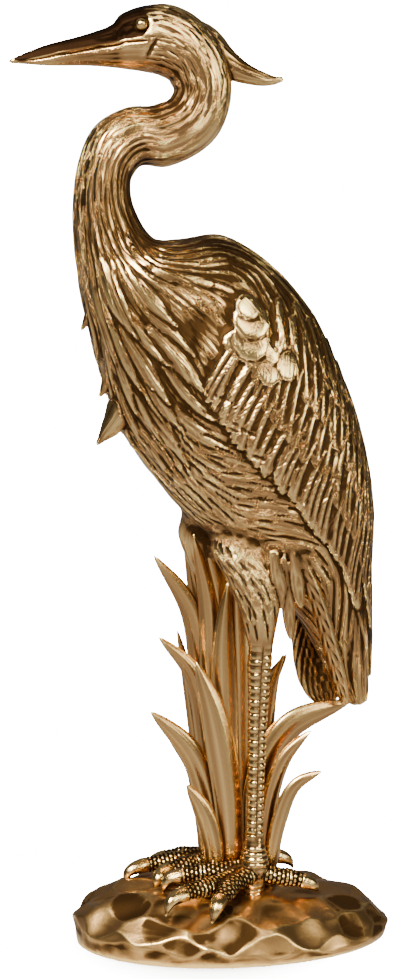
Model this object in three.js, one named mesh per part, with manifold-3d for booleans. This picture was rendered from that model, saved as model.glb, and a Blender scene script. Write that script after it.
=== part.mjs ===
// Heron figurine: a wading bird with its neck drawn back in an S, standing on both legs among reeds on
// a faceted rock. Bird, reeds and rock are one casting. Four small pads are glued under the rock.
// Millimetres, +Z up. The bird looks along -X. The origin is the middle of the footprint, on the ground.

import * as THREE from "three";
import { mergeVertices } from "three/addons/utils/BufferGeometryUtils.js";
import Module from "manifold-3d";

const wasm = await Module();
wasm.setup();

const RAD = Math.PI / 180;
const V = (x, y, z) => new THREE.Vector3(x, y, z);

// Pads: discs under the rock, at the same distance each side of its middle.
const PAD = { radius: 5.5, height: 2, x: 46, y: 27, sides: 16 };

// Rock: flat facets round an oval. Each tier leans by `lean` degrees from upright, outwards where it
// is below zero, and starts at the oval of half axes `length` and `depth` at height `z`.
const ROCK = { x: 1, underside: PAD.height };
const ROCK_TIERS = [
  { count: 12, lean: -32, z: 9.5, length: 78, depth: 52, turn: 9, seed: 1 },
  { count: 12, lean: 38, z: 10, length: 78.5, depth: 51, turn: 0, seed: 2 },
  { count: 9, lean: 71, z: 24, length: 67, depth: 40, turn: 17, seed: 3 },
  { count: 5, lean: 84, z: 29.5, length: 34, depth: 19, turn: 30, seed: 4 },
];
// Each facet departs from its even place by up to this much, and the top ones lean by less.
const ROCK_UNEVEN = { lean: 5, turn: 7, reach: 0.9 };
const ROCK_TOP = { lean: 80, share: 0.4 };
const ROCK_BLOCK = { length: 220, depth: 160, height: 60 };

// Trunk: oval sections from the bill's tip along head, neck and body to the tail's end. Each row is the
// section's middle x and z, its half depth in the plane of the neck, the lean of that depth in degrees
// (it runs from throat or belly to nape or back), and its half width across.
const TRUNK = [
  [-105.0, 423.4, 0.5, 117, 0.8], // bill tip
  [-88.1, 426.1, 4.6, 101, 3.2],
  [-70.0, 428.6, 7.0, 97, 5.2],
  [-57.1, 430.5, 9.7, 94, 7.2], // bill root
  [-51.0, 432.7, 12.8, 97, 9.5], // forehead
  [-41.2, 434.2, 15.3, 89, 11.8], // eyes
  [-30.6, 433.3, 16.5, 77, 12.6], // crown
  [-20.2, 426.6, 15.4, 52, 12.4], // nape
  [-14.3, 412.0, 13.6, 5, 12.0], // neck behind the bill
  [-19.4, 397.8, 13.4, -38, 12.0], // upper bend
  [-33.5, 390.2, 13.7, -74, 12.2], // level stretch
  [-46.2, 389.4, 13.6, -74, 12.6],
  [-55.3, 383.2, 13.1, -50, 13.2], // lower bend
  [-60.8, 372.5, 12.6, -19, 13.8],
  [-61.6, 357.4, 13.8, -3, 15.5], // neck going down
  [-56.7, 340.9, 18.1, 4, 20.0], // neck root
  [-47.9, 331.5, 27.3, 23, 27.0],
  [-37.0, 320.1, 39.3, 35, 33.0], // shoulders
  [-22.6, 301.6, 49.2, 36, 37.0], // breast
  [-7.8, 279.8, 53.6, 31, 38.5],
  [5.0, 258.5, 52.5, 30, 38.0],
  [16.8, 237.1, 48.9, 28, 35.5], // belly
  [29.8, 215.2, 41.5, 28, 31.0],
  [42.1, 194.8, 30.8, 28, 25.0], // vent
  [50.2, 172.3, 21.8, 33, 18.0],
  [57.9, 143.2, 14.5, 41, 12.0], // tail
  [63.1, 123.3, 8.2, 48, 7.0],
  [64.2, 116.5, 3.1, 37, 4.0],
];
const TAIL_END = V(64.6, 0, 114.3);
// Sections are drawn a whole station apart, and half a station apart where head, neck and body bend.
const TRUNK_BENDS = { from: 3, to: 24, step: 0.5 };
const TRUNK_SIDES = 16;

// Feathers and locks: a lens-shaped shell each. At the share `s` of its length it has the share `wide`
// of its half width and a crown of the share `crown`. Heights are counted outwards from the skin.
const FEATHER_SHAPE = [
  { s: 0.42, wide: 1.0, crown: 0.9 },
  { s: 0.85, wide: 0.75, crown: 0.7 },
];
const FEATHER = { start: -0.9, edge: -0.6, crown: 0.8, keel: -2.4, root: -1.6, tip: -0.5 };

// Feather rows of one wing. A feather's tip lies at `at`, a place along the trunk in stations, and
// `round`, degrees from the back towards the belly, both from the row's first feather to its last. Its
// root lies `length` stations before and `slant` degrees above.
const WING_ROWS = [
  { count: 9, at: [18.85, 24.1], round: [107, 84], length: 0.85, slant: 33, half: 6.2, lift: 2.6 },
  { count: 7, at: [19.6, 24.6], round: [86, 62], length: 0.95, slant: 27, half: 6.4, lift: 2.4 },
  { count: 6, at: [19.9, 25.2], round: [62, 42], length: 1.2, slant: 20, half: 5.6, lift: 2.2 },
  { count: 5, at: [19.4, 25.7], round: [41, 24], length: 1.4, slant: 9, half: 5.6, lift: 2.0 },
  { count: 3, at: [20.9, 26.1], round: [21, 9], length: 1.7, slant: 2, half: 5.2, lift: 1.8 },
];
// Round feathers laid like scales over the wing's shoulder.
const SHOULDER_SCALES = [
  { at: 19.3, round: 68, length: 0.9, slant: -2, half: 11, lift: 3.4 },
  { at: 18.8, round: 70, length: 0.7, slant: 0, half: 8, lift: 4.2 },
];
// Pointed locks hanging from neck and breast down to the belly.
const BREAST_ROWS = [
  { count: 4, at: [16.6, 16.9], round: [66, 168], length: 2.0, slant: -6, half: 4.6, lift: 1.6 },
  { count: 4, at: [18.1, 18.0], round: [98, 166], length: 1.8, slant: -5, half: 5.4, lift: 2.0 },
  { count: 4, at: [19.6, 19.5], round: [116, 172], length: 1.6, slant: -8, half: 5.6, lift: 1.7 },
  { count: 2, at: [21.3, 21.1], round: [128, 158], length: 1.5, slant: -12, half: 5.6, lift: 1.1 },
];

// Free pointed tips of the breast plumage, one under the other on the middle line: middle line of each,
// its half depth, and its half width as a share of that.
const PLUMES = [
  { line: [V(-60, 0, 340), V(-66, 0, 317), V(-67, 0, 303), V(-72.1, 0, 296.5)], depth: 5.6, flat: 1.3 },
  { line: [V(-52, 0, 308), V(-58, 0, 289), V(-59, 0, 274), V(-63.2, 0, 266.8)], depth: 6.0, flat: 1.3 },
  { line: [V(-44, -2, 286), V(-52, -2, 272), V(-56, -2, 257), V(-65.5, -2, 244.4)], depth: 6.6, flat: 1.1 },
];
const PLUME_TAPER = [1, 1, 0.8, 0.1];

// Crest: a cone swept back from the nape, its half depth at even steps, and its half width as a share.
const CREST = {
  line: [V(-20, 0, 434), V(-3, 0, 421.5), V(8, 0, 416.8), V(23.6, 0, 415.2)],
  depths: [10.5, 9.5, 6.3, 3.8, 0.4],
  flat: 0.63,
  steps: 7,
};
const EYE = { at: V(-45.2, 9.4, 439.4), radius: 3.3 };
// Rim of the upper bill, from near the tip to the corner of the mouth.
const MOUTH = { from: 0.35, to: 4.85, round: 93, half: 0.9, lift: 0.7 };

// Tail: the outer feather of the near side, seen as a straight strip, and the far lobe beside it.
const TAIL_FEATHERS = [
  { line: [V(20, -24, 207), V(36, -20, 174), V(46, -15, 144), V(54.5, -9, 116)], half: 4.2, face: [-8, -10] },
  { line: [V(44, 10, 205), V(44, 14, 165), V(45, 13, 136), V(50, 9, 113)], half: 12, face: [-1, 10] },
];
const TAIL_SECTION = { bulge: 0.6, thick: 2.2 };

// Legs, from inside the belly down to the foot: height, middle x, distance from the middle line, half
// thickness along the bird and across it.
const LEG = [
  [218, 15.0, 5, 14.0, 9.0], // thigh
  [205, 4.5, 10, 19.5, 15.0],
  [194, 5.5, 13, 17.0, 14.6],
  [182, 8.5, 15, 13.8, 12.4],
  [170, 10.3, 16, 10.6, 9.8],
  [158, 10.6, 17, 7.8, 7.4],
  [148, 10.9, 17, 5.7, 5.7],
  [140, 10.3, 17, 5.7, 5.7], // knee
  [128, 9.9, 17, 4.9, 4.9],
  [110, 9.3, 17, 4.3, 4.3],
  [68, 8.4, 17, 3.9, 3.9],
  [52, 8.0, 17, 4.9, 4.9],
  [42, 8.0, 17, 6.6, 6.4],
  [28, 7.5, 17, 4.6, 4.6], // foot
];
const LEG_SIDES = 8;
// Far leg: the same leg, moved.
const FAR_LEG_SHIFT = -9;

// Toes: root, knuckle, claw root and claw tip of each, first the near foot's.
const TOES = [
  [V(6, -17, 40), V(-15.7, -15, 38.5), V(-28.7, -14, 36.5), V(-35.6, -14, 31.5)],
  [V(5, -18, 38), V(-14.6, -28, 35.5), V(-31, -36, 34), V(-39.3, -41, 28.5)],
  [V(6, -19, 38), V(-4.4, -28, 35), V(-10.7, -36, 31.5), V(-18, -46, 25.5)],
  [V(8, -18, 38), V(27.4, -19, 36), V(32.7, -20, 35), V(38.6, -20, 29.5)],
  [V(-2, 17, 38), V(-30.6, 14, 35), V(-43.4, 12, 34.5), V(-51.5, 9, 29)],
  [V(-2, 16, 37), V(-23.6, 5, 35.5), V(-33.3, 0, 35), V(-38.3, -5, 30)],
  [V(-2, 18, 37), V(-16, 29, 34), V(-27, 35, 31.5), V(-36, 38, 26)],
  [V(-1, 17, 37), V(23.4, 19, 35), V(29.2, 20, 34.5), V(34.5, 20, 29)],
];
const TOE_RADII = [4.6, 3.9, 3.5, 0.5];
const TOE_FLAT = 0.95;

// Reeds: four points up the middle of each blade, from its root in the rock to its tip, its half width,
// and the way its outer side faces where that isn't the usual one. The first fifteen show from the near
// side, the rest stand behind.
const REED_FACE = [-0.3, -1];
const NEAR = [0, -1];
const REEDS = [
  { line: [V(-8, 4, 24), V(-9, 3, 118), V(-11.5, 3, 167.5), V(-18.5, 2, 201)], half: 6 },
  { line: [V(-7, 9, 24), V(-14, 9, 121.5), V(-20.5, 9, 161.5), V(-37, 8, 188.5)], half: 5.4 },
  { line: [V(-2, -4, 24), V(-3.5, -5, 109.5), V(-4.5, -5, 149), V(-2.5, -4, 178.5)], half: 6.4, face: NEAR },
  { line: [V(-10, 3, 24), V(-13.5, 2, 98.5), V(-20, 1, 131), V(-36, 0, 150)], half: 5.4 },
  { line: [V(0, -8, 24), V(-3.5, -12, 74), V(-11, -13, 116.5), V(-19.5, -13, 141.5)], half: 7.4, face: NEAR },
  { line: [V(-6, -2, 24), V(-15, -5, 77.5), V(-23, -6, 95.5), V(-40.5, -7, 115)], half: 5.6 },
  { line: [V(-9, -11, 24), V(-13, -15, 55.5), V(-17.5, -16, 69.5), V(-25, -17, 83)], half: 5.2 },
  { line: [V(-9, 14, 24), V(-10, 17, 114.5), V(-14, 17, 169.5), V(-25, 16, 213)], half: 5.4 },
  { line: [V(-11, 12, 24), V(-15, 14, 95.5), V(-20, 14, 130.5), V(-24.5, 14, 152.5)], half: 3.6 },
  { line: [V(12, -3, 24), V(14, -4, 80), V(29, -3, 106), V(60, -1, 116.5)], half: 6.8, face: [0.3, -1] },
  { line: [V(15, -7, 24), V(18.5, -10, 70), V(25, -12, 91.5), V(37, -13, 106)], half: 4.8, face: [0.5, -1] },
  { line: [V(16, -9, 24), V(21, -15, 61), V(28.5, -17, 79), V(40, -19, 85)], half: 4.0, face: [0.6, -1] },
  { line: [V(16, 3, 24), V(19, 3, 86.5), V(22, 3, 121.5), V(26.5, 3, 141)], half: 3.2, face: [0.4, -1] },
  { line: [V(6, 0, 24), V(6, 1, 100), V(5, 2, 150), V(2, 3, 198)], half: 7.4, face: NEAR },
  { line: [V(2, 2, 24), V(0, 4, 110), V(-4, 5, 165), V(-14, 5, 205)], half: 6.8, face: NEAR },
  { line: [V(0, 18, 24), V(3, 25, 96), V(2, 27, 140), V(-4, 28, 176)], half: 6.4, face: [0.1, 1] },
  { line: [V(8, 14, 24), V(14, 22, 84), V(21, 24, 116), V(33, 26, 136)], half: 5.6, face: [0.4, 1] },
  { line: [V(-9, 17, 24), V(-12, 23, 64), V(-16, 26, 82), V(-27, 28, 96)], half: 5.2, face: [-0.4, 1] },
  { line: [V(8, 21, 24), V(12, 27, 54), V(16, 29, 68), V(25, 31, 79)], half: 4.8, face: [0.3, 1] },
];
const REED_SECTION = { bulge: 2.4, thick: 1.6 };

// Smallest step that is kept where pieces join.
const SLIVER = 0.22;

const GOLD = new THREE.MeshStandardMaterial({ color: 0xb48a50, roughness: 0.32, metalness: 0.9 });
const RUBBER = new THREE.MeshStandardMaterial({ color: 0x17140f, roughness: 0.85, metalness: 0.0 });

// A closed mesh as a solid, with its faces turned outwards.
function solid(points, faces) {
  let volume = 0;
  for (const [a, b, c] of faces) {
    volume += points[a].dot(new THREE.Vector3().crossVectors(points[b], points[c]));
  }
  const turned = volume < 0 ? faces.map(([a, b, c]) => [a, c, b]) : faces;
  return new wasm.Manifold(
    new wasm.Mesh({
      numProp: 3,
      vertProperties: Float32Array.from(points.flatMap((p) => [p.x, p.y, p.z])),
      triVerts: Uint32Array.from(turned.flat()),
    }),
  );
}

// The skin over a row of rings with equal numbers of points, closed by a pole at each end.
function skin(rings, firstPole, lastPole) {
  const sides = rings[0].length;
  const points = [firstPole, ...rings.flat(), lastPole];
  const last = points.length - 1;
  const faces = [];
  for (let i = 0; i < sides; i += 1) {
    const j = (i + 1) % sides;
    faces.push([0, 1 + j, 1 + i]);
    for (let k = 0; k + 1 < rings.length; k += 1) {
      const low = 1 + k * sides;
      const high = low + sides;
      faces.push([low + i, low + j, high + j], [low + i, high + j, high + i]);
    }
    faces.push([last, last - sides + i, last - sides + j]);
  }
  return solid(points, faces);
}

function fromGeometry(geometry, matrix) {
  const bare = geometry.clone().applyMatrix4(matrix);
  bare.deleteAttribute("normal");
  bare.deleteAttribute("uv");
  const merged = mergeVertices(bare, 1e-4);
  const place = merged.getAttribute("position");
  const points = Array.from({ length: place.count }, (_, i) => V().fromBufferAttribute(place, i));
  const index = merged.getIndex().array;
  const faces = [];
  for (let i = 0; i < index.length; i += 3) {
    faces.push([index[i], index[i + 1], index[i + 2]]);
  }
  return solid(points, faces);
}

// A row of numbers between stations, on a smooth (Catmull-Rom) curve through them.
function between(rows, t) {
  const clamped = Math.min(Math.max(t, 0), rows.length - 1);
  const i = Math.min(Math.floor(clamped), rows.length - 2);
  const f = clamped - i;
  const row = (k) => rows[Math.min(Math.max(i + k, 0), rows.length - 1)];
  const [a, b, c, d] = [row(-1), row(0), row(1), row(2)];
  return b.map((_, n) => {
    const line = (c[n] - a[n]) * f;
    const bend = (2 * a[n] - 5 * b[n] + 4 * c[n] - d[n]) * f * f;
    const turn = (3 * b[n] - 3 * c[n] + d[n] - a[n]) * f * f * f;
    return 0.5 * (2 * b[n] + line + bend + turn);
  });
}

function trunkPoint(t, degrees) {
  const [x, z, depth, lean, width] = between(TRUNK, t);
  const out = depth * Math.cos(degrees * RAD);
  return V(
    x + out * Math.cos(lean * RAD),
    -width * Math.sin(degrees * RAD),
    z + out * Math.sin(lean * RAD),
  );
}

// The trunk's outward normal: square to small steps along it and round it.
function trunkNormal(t, degrees) {
  const along = trunkPoint(t + 0.05, degrees).sub(trunkPoint(t - 0.05, degrees));
  const round = trunkPoint(t, degrees + 2).sub(trunkPoint(t, degrees - 2));
  const [x, z] = between(TRUNK, t);
  const normal = along.cross(round).normalize();
  const outwards = trunkPoint(t, degrees).sub(V(x, 0, z));
  return normal.dot(outwards) < 0 ? normal.negate() : normal;
}

function trunk() {
  const rings = [];
  const inBend = (t) => t >= TRUNK_BENDS.from && t < TRUNK_BENDS.to;
  for (let t = 1; t < TRUNK.length; t += inBend(t) ? TRUNK_BENDS.step : 1) {
    const ring = [];
    for (let i = 0; i < TRUNK_SIDES; i += 1) {
      ring.push(trunkPoint(t, (360 * i) / TRUNK_SIDES));
    }
    rings.push(ring);
  }
  return skin(rings, V(TRUNK[0][0], 0, TRUNK[0][1]), TAIL_END);
}

// One feather or lock lying on the trunk, from a root sunk in the skin to a tip standing `lift` proud
// of it. `side` is 1 on the near side and -1 on the far side.
function feather(side, root, tip, half, lift) {
  const place = (s) => [root[0] + (tip[0] - root[0]) * s, side * (root[1] + (tip[1] - root[1]) * s)];
  const at = (s, across, out) => {
    const [t, degrees] = place(s);
    const ahead = trunkPoint(...place(s + 0.05)).sub(trunkPoint(...place(s - 0.05)));
    const normal = trunkNormal(t, degrees);
    const sideways = ahead.cross(normal).normalize();
    return trunkPoint(t, degrees).addScaledVector(sideways, across).addScaledVector(normal, out);
  };
  const rings = FEATHER_SHAPE.map(({ s, wide, crown }) => {
    const rise = FEATHER.start + (lift - FEATHER.start) * s;
    return [
      at(s, -half * wide, rise + FEATHER.edge),
      at(s, 0, rise + FEATHER.crown * crown),
      at(s, half * wide, rise + FEATHER.edge),
      at(s, 0, FEATHER.keel),
    ];
  });
  return skin(rings, at(0, 0, FEATHER.root), at(1, 0, lift + FEATHER.tip));
}

function featherRow(side, { count, at, round, length, slant, half, lift }) {
  const row = [];
  for (let i = 0; i < count; i += 1) {
    const f = count > 1 ? i / (count - 1) : 0;
    const tip = [at[0] + (at[1] - at[0]) * f, round[0] + (round[1] - round[0]) * f];
    row.push(feather(side, [tip[0] - length, tip[1] - slant], tip, half, lift));
  }
  return row;
}

function plumage() {
  const all = [];
  for (const side of [1, -1]) {
    for (const row of [...WING_ROWS, ...BREAST_ROWS]) {
      all.push(...featherRow(side, row));
    }
    for (const { at, round, length, slant, half, lift } of SHOULDER_SCALES) {
      all.push(feather(side, [at - length, round - slant], [at, round], half, lift));
    }
    const { from, to, round, half, lift } = MOUTH;
    all.push(feather(side, [to, round], [from, round], half, lift));
  }
  return all;
}

const curve = (line) => new THREE.CatmullRomCurve3(line);

// A blade along a curve: two sharp edges, a crowned outer side and a back. `shape` gives the share of
// the half width at places along it.
const LEAF_SHAPE = [[0.02, 0.6], [0.35, 0.9], [0.6, 1.0], [0.8, 0.86], [0.93, 0.5]];
const LOBE_SHAPE = [[0.02, 0.7], [0.4, 1.0], [0.75, 0.95], [0.95, 0.55]];
function blade({ line, half, face, bulge, thick, shape = LEAF_SHAPE }) {
  const path = curve(line);
  const faceWay = V(face[0], face[1], 0);
  const rings = shape.map(([s, wide]) => {
    const along = path.getTangentAt(s);
    const out = faceWay.clone().addScaledVector(along, -faceWay.dot(along)).normalize();
    const across = along.clone().cross(out);
    const at = (sideways, outwards) =>
      path.getPointAt(s).addScaledVector(across, sideways).addScaledVector(out, outwards);
    const crown = Math.sqrt(wide);
    return [
      at(-half * wide, -bulge * crown),
      at(0, thick * crown),
      at(half * wide, -bulge * crown),
      at(0, -thick * crown),
    ];
  });
  return skin(rings, line[0], line[line.length - 1]);
}

// A round or oval rod along a curve, with its half thickness given at even steps from end to end.
function rod(path, radii, { sides = 8, flat = 1, steps = radii.length - 1 } = {}) {
  const rings = [];
  const rows = radii.map((r) => [r]);
  for (let k = 0; k < steps; k += 1) {
    const s = k / steps;
    const [radius] = between(rows, s * (radii.length - 1));
    const along = path.getTangent(s);
    const across = V(0, 0, 1).cross(along).normalize();
    const up = along.clone().cross(across);
    const ring = [];
    for (let i = 0; i < sides; i += 1) {
      const turn = (2 * Math.PI * (i + 0.5)) / sides;
      ring.push(
        path
          .getPoint(s)
          .addScaledVector(across, radius * flat * Math.cos(turn))
          .addScaledVector(up, radius * Math.sin(turn)),
      );
    }
    rings.push(ring);
  }
  return skin(rings, path.getPoint(0), path.getPoint(1));
}

function headPieces() {
  const { line, depths, flat, steps } = CREST;
  const crest = rod(curve(line), depths, { flat, steps });
  const eyes = [-1, 1].map((side) => {
    const ball = new THREE.SphereGeometry(EYE.radius, 8, 6);
    return fromGeometry(ball, new THREE.Matrix4().makeTranslation(EYE.at.x, side * EYE.at.y, EYE.at.z));
  });
  return [crest, ...eyes];
}

function plumes() {
  return PLUMES.map(({ line, depth, flat }) =>
    rod(curve(line), PLUME_TAPER.map((share) => share * depth), { sides: 6, flat, steps: 5 }),
  );
}

function tail() {
  return TAIL_FEATHERS.map((feather) => blade({ ...feather, ...TAIL_SECTION, shape: LOBE_SHAPE }));
}

function leg(side, shift) {
  const [topZ] = LEG[0];
  const [footZ] = LEG[LEG.length - 1];
  const centre = ([z, x, y]) => V(x + (shift * (topZ - z)) / (topZ - footZ), side * y, z);
  const rings = LEG.map((row) =>
    Array.from({ length: LEG_SIDES }, (_, i) => {
      const turn = (2 * Math.PI * i) / LEG_SIDES;
      return centre(row).add(V(row[3] * Math.cos(turn), row[4] * Math.sin(turn), 0));
    }),
  );
  return skin(rings, centre(LEG[0]), centre(LEG[LEG.length - 1]));
}

function toe([root, knuckle, claw, tip]) {
  const bones = new THREE.CatmullRomCurve3([root, knuckle, claw, tip]);
  return rod(bones, TOE_RADII, { sides: 6, flat: TOE_FLAT, steps: 5 });
}

function reeds() {
  return REEDS.map((reed) => blade({ face: REED_FACE, ...reed, ...REED_SECTION }));
}

// A block with one face on the plane square to `normal` at `distance` from the origin, and all of it
// beyond that plane, to cut one facet of the rock.
function beyond(normal, distance) {
  const size = 2 * ROCK_BLOCK.length;
  const turn = new THREE.Quaternion().setFromUnitVectors(V(0, 0, 1), normal);
  const place = normal.clone().multiplyScalar(distance + size / 2);
  const matrix = new THREE.Matrix4().compose(place, turn, V(1, 1, 1));
  return fromGeometry(new THREE.BoxGeometry(size, size, size), matrix);
}

// A repeatable unevenness between -1 and 1.
const uneven = (k, seed) => Math.sin(12.9898 * k + 78.233 * seed);

function rock() {
  const { length: blockLength, depth: blockDepth, height } = ROCK_BLOCK;
  const block = new THREE.BoxGeometry(blockLength, blockDepth, height);
  const middle = new THREE.Matrix4().makeTranslation(ROCK.x, 0, ROCK.underside + height / 2);
  let stone = fromGeometry(block, middle);
  for (const { count, lean, z, length, depth, turn, seed } of ROCK_TIERS) {
    for (let k = 0; k < count; k += 1) {
      const round = (360 / count) * k + turn + ROCK_UNEVEN.turn * uneven(k, seed);
      const share = lean > ROCK_TOP.lean ? ROCK_TOP.share : 1;
      const tilt = lean + ROCK_UNEVEN.lean * share * uneven(k, seed + 5);
      const reach = Math.hypot(length * Math.cos(round * RAD), depth * Math.sin(round * RAD));
      const normal = V(
        Math.cos(tilt * RAD) * Math.cos(round * RAD),
        Math.cos(tilt * RAD) * Math.sin(round * RAD),
        Math.sin(tilt * RAD),
      );
      const edge = reach + ROCK_UNEVEN.reach * uneven(k, seed + 9);
      const distance = Math.cos(tilt * RAD) * edge + normal.z * z + normal.x * ROCK.x;
      stone = stone.subtract(beyond(normal, distance));
    }
  }
  return stone;
}

function mesh(name, shape, material) {
  const { vertProperties, triVerts } = shape.getMesh();
  const geometry = new THREE.BufferGeometry();
  geometry.setAttribute("position", new THREE.BufferAttribute(new Float32Array(vertProperties), 3));
  geometry.setIndex(new THREE.BufferAttribute(new Uint32Array(triVerts), 1));
  geometry.computeVertexNormals();
  const made = new THREE.Mesh(geometry, material);
  made.name = name;
  return made;
}

// Everything in one skin. Hollows shut in between reeds and rock are filled, as they are in a casting,
// and slivers left by the joins are merged away.
function casting() {
  const pieces = [
    trunk(),
    ...plumage(),
    ...headPieces(),
    ...plumes(),
    ...tail(),
    leg(-1, 0),
    leg(1, FAR_LEG_SHIFT),
    ...TOES.map(toe),
    ...reeds(),
    rock(),
  ];
  const shells = wasm.Manifold.union(pieces).simplify(SLIVER).decompose();
  return shells.reduce((most, shell) => (shell.volume() > most.volume() ? shell : most));
}

function pads() {
  const corners = [
    ["front_left_pad", -1, -1],
    ["front_right_pad", -1, 1],
    ["back_left_pad", 1, -1],
    ["back_right_pad", 1, 1],
  ];
  return corners.map(([name, alongX, alongY]) => {
    const disc = new THREE.CylinderGeometry(PAD.radius, PAD.radius, PAD.height, PAD.sides);
    disc.rotateX(Math.PI / 2);
    const made = new THREE.Mesh(disc, RUBBER);
    made.name = name;
    made.position.set(alongX * PAD.x, alongY * PAD.y, PAD.height / 2);
    return made;
  });
}

const heron = new THREE.Group();
heron.add(mesh("heron_casting", casting(), GOLD), ...pads());

// Centre the footprint on the origin.
const box = new THREE.Box3().setFromObject(heron);
const middle = box.getCenter(new THREE.Vector3());
heron.position.set(-middle.x, -middle.y, -box.min.z);

export default heron;
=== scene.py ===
import bpy
import numpy as np
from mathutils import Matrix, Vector


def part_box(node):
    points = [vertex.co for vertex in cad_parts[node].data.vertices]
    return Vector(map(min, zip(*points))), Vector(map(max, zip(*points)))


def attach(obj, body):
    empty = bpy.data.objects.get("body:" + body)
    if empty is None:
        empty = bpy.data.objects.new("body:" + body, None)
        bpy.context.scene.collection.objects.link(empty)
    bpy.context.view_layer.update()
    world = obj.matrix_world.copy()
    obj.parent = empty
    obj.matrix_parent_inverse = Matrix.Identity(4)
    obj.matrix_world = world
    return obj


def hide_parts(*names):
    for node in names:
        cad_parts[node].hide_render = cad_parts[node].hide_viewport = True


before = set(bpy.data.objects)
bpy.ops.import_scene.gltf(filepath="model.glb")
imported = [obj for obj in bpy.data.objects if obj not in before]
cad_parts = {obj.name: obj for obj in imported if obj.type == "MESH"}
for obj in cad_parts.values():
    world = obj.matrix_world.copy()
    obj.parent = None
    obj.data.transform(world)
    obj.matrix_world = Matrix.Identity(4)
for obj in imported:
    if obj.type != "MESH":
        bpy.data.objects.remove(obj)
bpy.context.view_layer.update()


# Camera. The photograph shows the bird's left side from a little in front of it and a little above,
# through a long lens. The front left pad tells where the figure's frame lies in the model's.
PAD_PLACE = np.array([46.0, 27.0])
CAMERA_PLACE = np.array([-213.2, -1121.5, 381.8])
CAMERA_TARGET = np.array([-15.5, 0.0, 222.7])
CAMERA_LENS = 88.6
CAMERA_SENSOR = 36.0

pad_low, pad_high = (np.array(corner) * 1000 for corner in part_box("front_left_pad"))
SHIFT = np.append((pad_low[:2] + pad_high[:2]) / 2 + PAD_PLACE, 0.0)


def metres(places):
    """Places in the figure's frame, in millimetres, as places in the model's frame, in metres."""
    return (np.asarray(places, float) + SHIFT) / 1000


camera = bpy.data.objects.new("camera", bpy.data.cameras.new("camera"))
camera.data.lens = CAMERA_LENS
camera.data.sensor_width = CAMERA_SENSOR
camera.location = Vector(metres(CAMERA_PLACE))
camera.rotation_euler = Vector(CAMERA_TARGET - CAMERA_PLACE).to_track_quat("-Z", "Y").to_euler()
bpy.context.collection.objects.link(camera)
bpy.context.scene.camera = camera


# Trunk. Bill, head, neck, body and tail are the main form of the casting, which is gilded polyresin
# poured in a mould that was taken from a carving. The form is a tube of oval sections.

# Each row is a section's middle x and z, its half depth in the middle plane, that depth's lean in
# degrees, from throat or belly to nape or back, and its half width.
TRUNK = np.array([
    [-105.0, 423.4, 0.5, 117, 0.8],
    [-88.1, 426.1, 4.6, 101, 3.2],
    [-70.0, 428.6, 7.0, 97, 5.2],
    [-57.1, 430.5, 9.7, 94, 7.2],
    [-51.0, 432.7, 12.8, 97, 9.5],
    [-41.2, 434.2, 15.3, 89, 11.8],
    [-30.6, 433.3, 16.5, 77, 12.6],
    [-20.2, 426.6, 15.4, 52, 12.4],
    [-14.3, 412.0, 13.6, 5, 12.0],
    [-19.4, 397.4, 14.2, -38, 12.2],
    [-33.5, 389.8, 14.4, -74, 12.4],
    [-46.2, 389.4, 13.6, -74, 12.6],
    [-55.6, 383.5, 13.9, -50, 13.2],
    [-60.8, 372.5, 12.6, -19, 13.8],
    [-61.6, 357.4, 13.8, -3, 15.5],
    [-56.7, 340.9, 18.1, 4, 20.0],
    [-48.4, 331.5, 26.2, 21, 27.0],
    [-37.0, 320.1, 39.3, 35, 33.0],
    [-22.6, 301.6, 49.2, 36, 37.0],
    [-7.8, 279.8, 53.6, 31, 38.5],
    [5.0, 258.5, 52.5, 30, 38.0],
    [16.8, 237.1, 48.9, 28, 35.5],
    [29.8, 215.2, 41.5, 28, 31.0],
    [42.1, 194.8, 30.8, 28, 25.0],
    [50.2, 172.3, 21.8, 33, 18.0],
    [57.9, 143.2, 14.5, 41, 12.0],
    [63.1, 123.3, 8.2, 48, 7.0],
    [64.2, 116.5, 3.1, 37, 4.0],
])
TRUNK_END = np.array([64.6, 0.0, 114.3])
TRUNK_SIDES = 336
TRUNK_LAST = 26.9
# Millimetres between rings of the skin, at stations along the trunk.
TRUNK_PACE = ([0, 3, 5, 8, 15, 17, 27], [1.6, 1.0, 0.8, 1.2, 1.2, 0.85, 0.85])
# A height below any relief, for places that lie outside a shape.
OUTSIDE = -9.0
# Millimetres by which the fine lines of one tuft are set off from the last one's, and after how many
# tufts the numbers that part them come round again.
TUFT_SHIFT = 9.7
TUFT_ROUND = 50


def spline(rows, t):
    """Rows of numbers at stations t on a Catmull-Rom curve: between two stations each number is the
    cubic through both rows whose slope at a row is half the step between that row's neighbours."""
    t = np.clip(t, 0, len(rows) - 1)
    i = np.minimum(np.floor(t).astype(int), len(rows) - 2)
    f = (t - i)[..., None]
    a, b, c, d = (rows[np.clip(i + k, 0, len(rows) - 1)] for k in (-1, 0, 1, 2))
    bend = (2 * a - 5 * b + 4 * c - d) * f**2
    turn = (3 * b - 3 * c + d - a) * f**3
    return 0.5 * (2 * b + (c - a) * f + bend + turn)


def trunk_surface(t, degrees):
    """Middle of the section at t, plus half depth times the cosine of the turn along the leaning depth,
    minus half width times its sine along y. 0 degrees is the back, 90 the left side, 180 the belly."""
    x, z, depth, lean, width = np.moveaxis(spline(TRUNK, t), -1, 0)
    turn = np.radians(degrees)
    lean = np.radians(lean)
    out = depth * np.cos(turn)
    return np.stack([x + out * np.cos(lean), -width * np.sin(turn), z + out * np.sin(lean)], -1)


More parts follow.
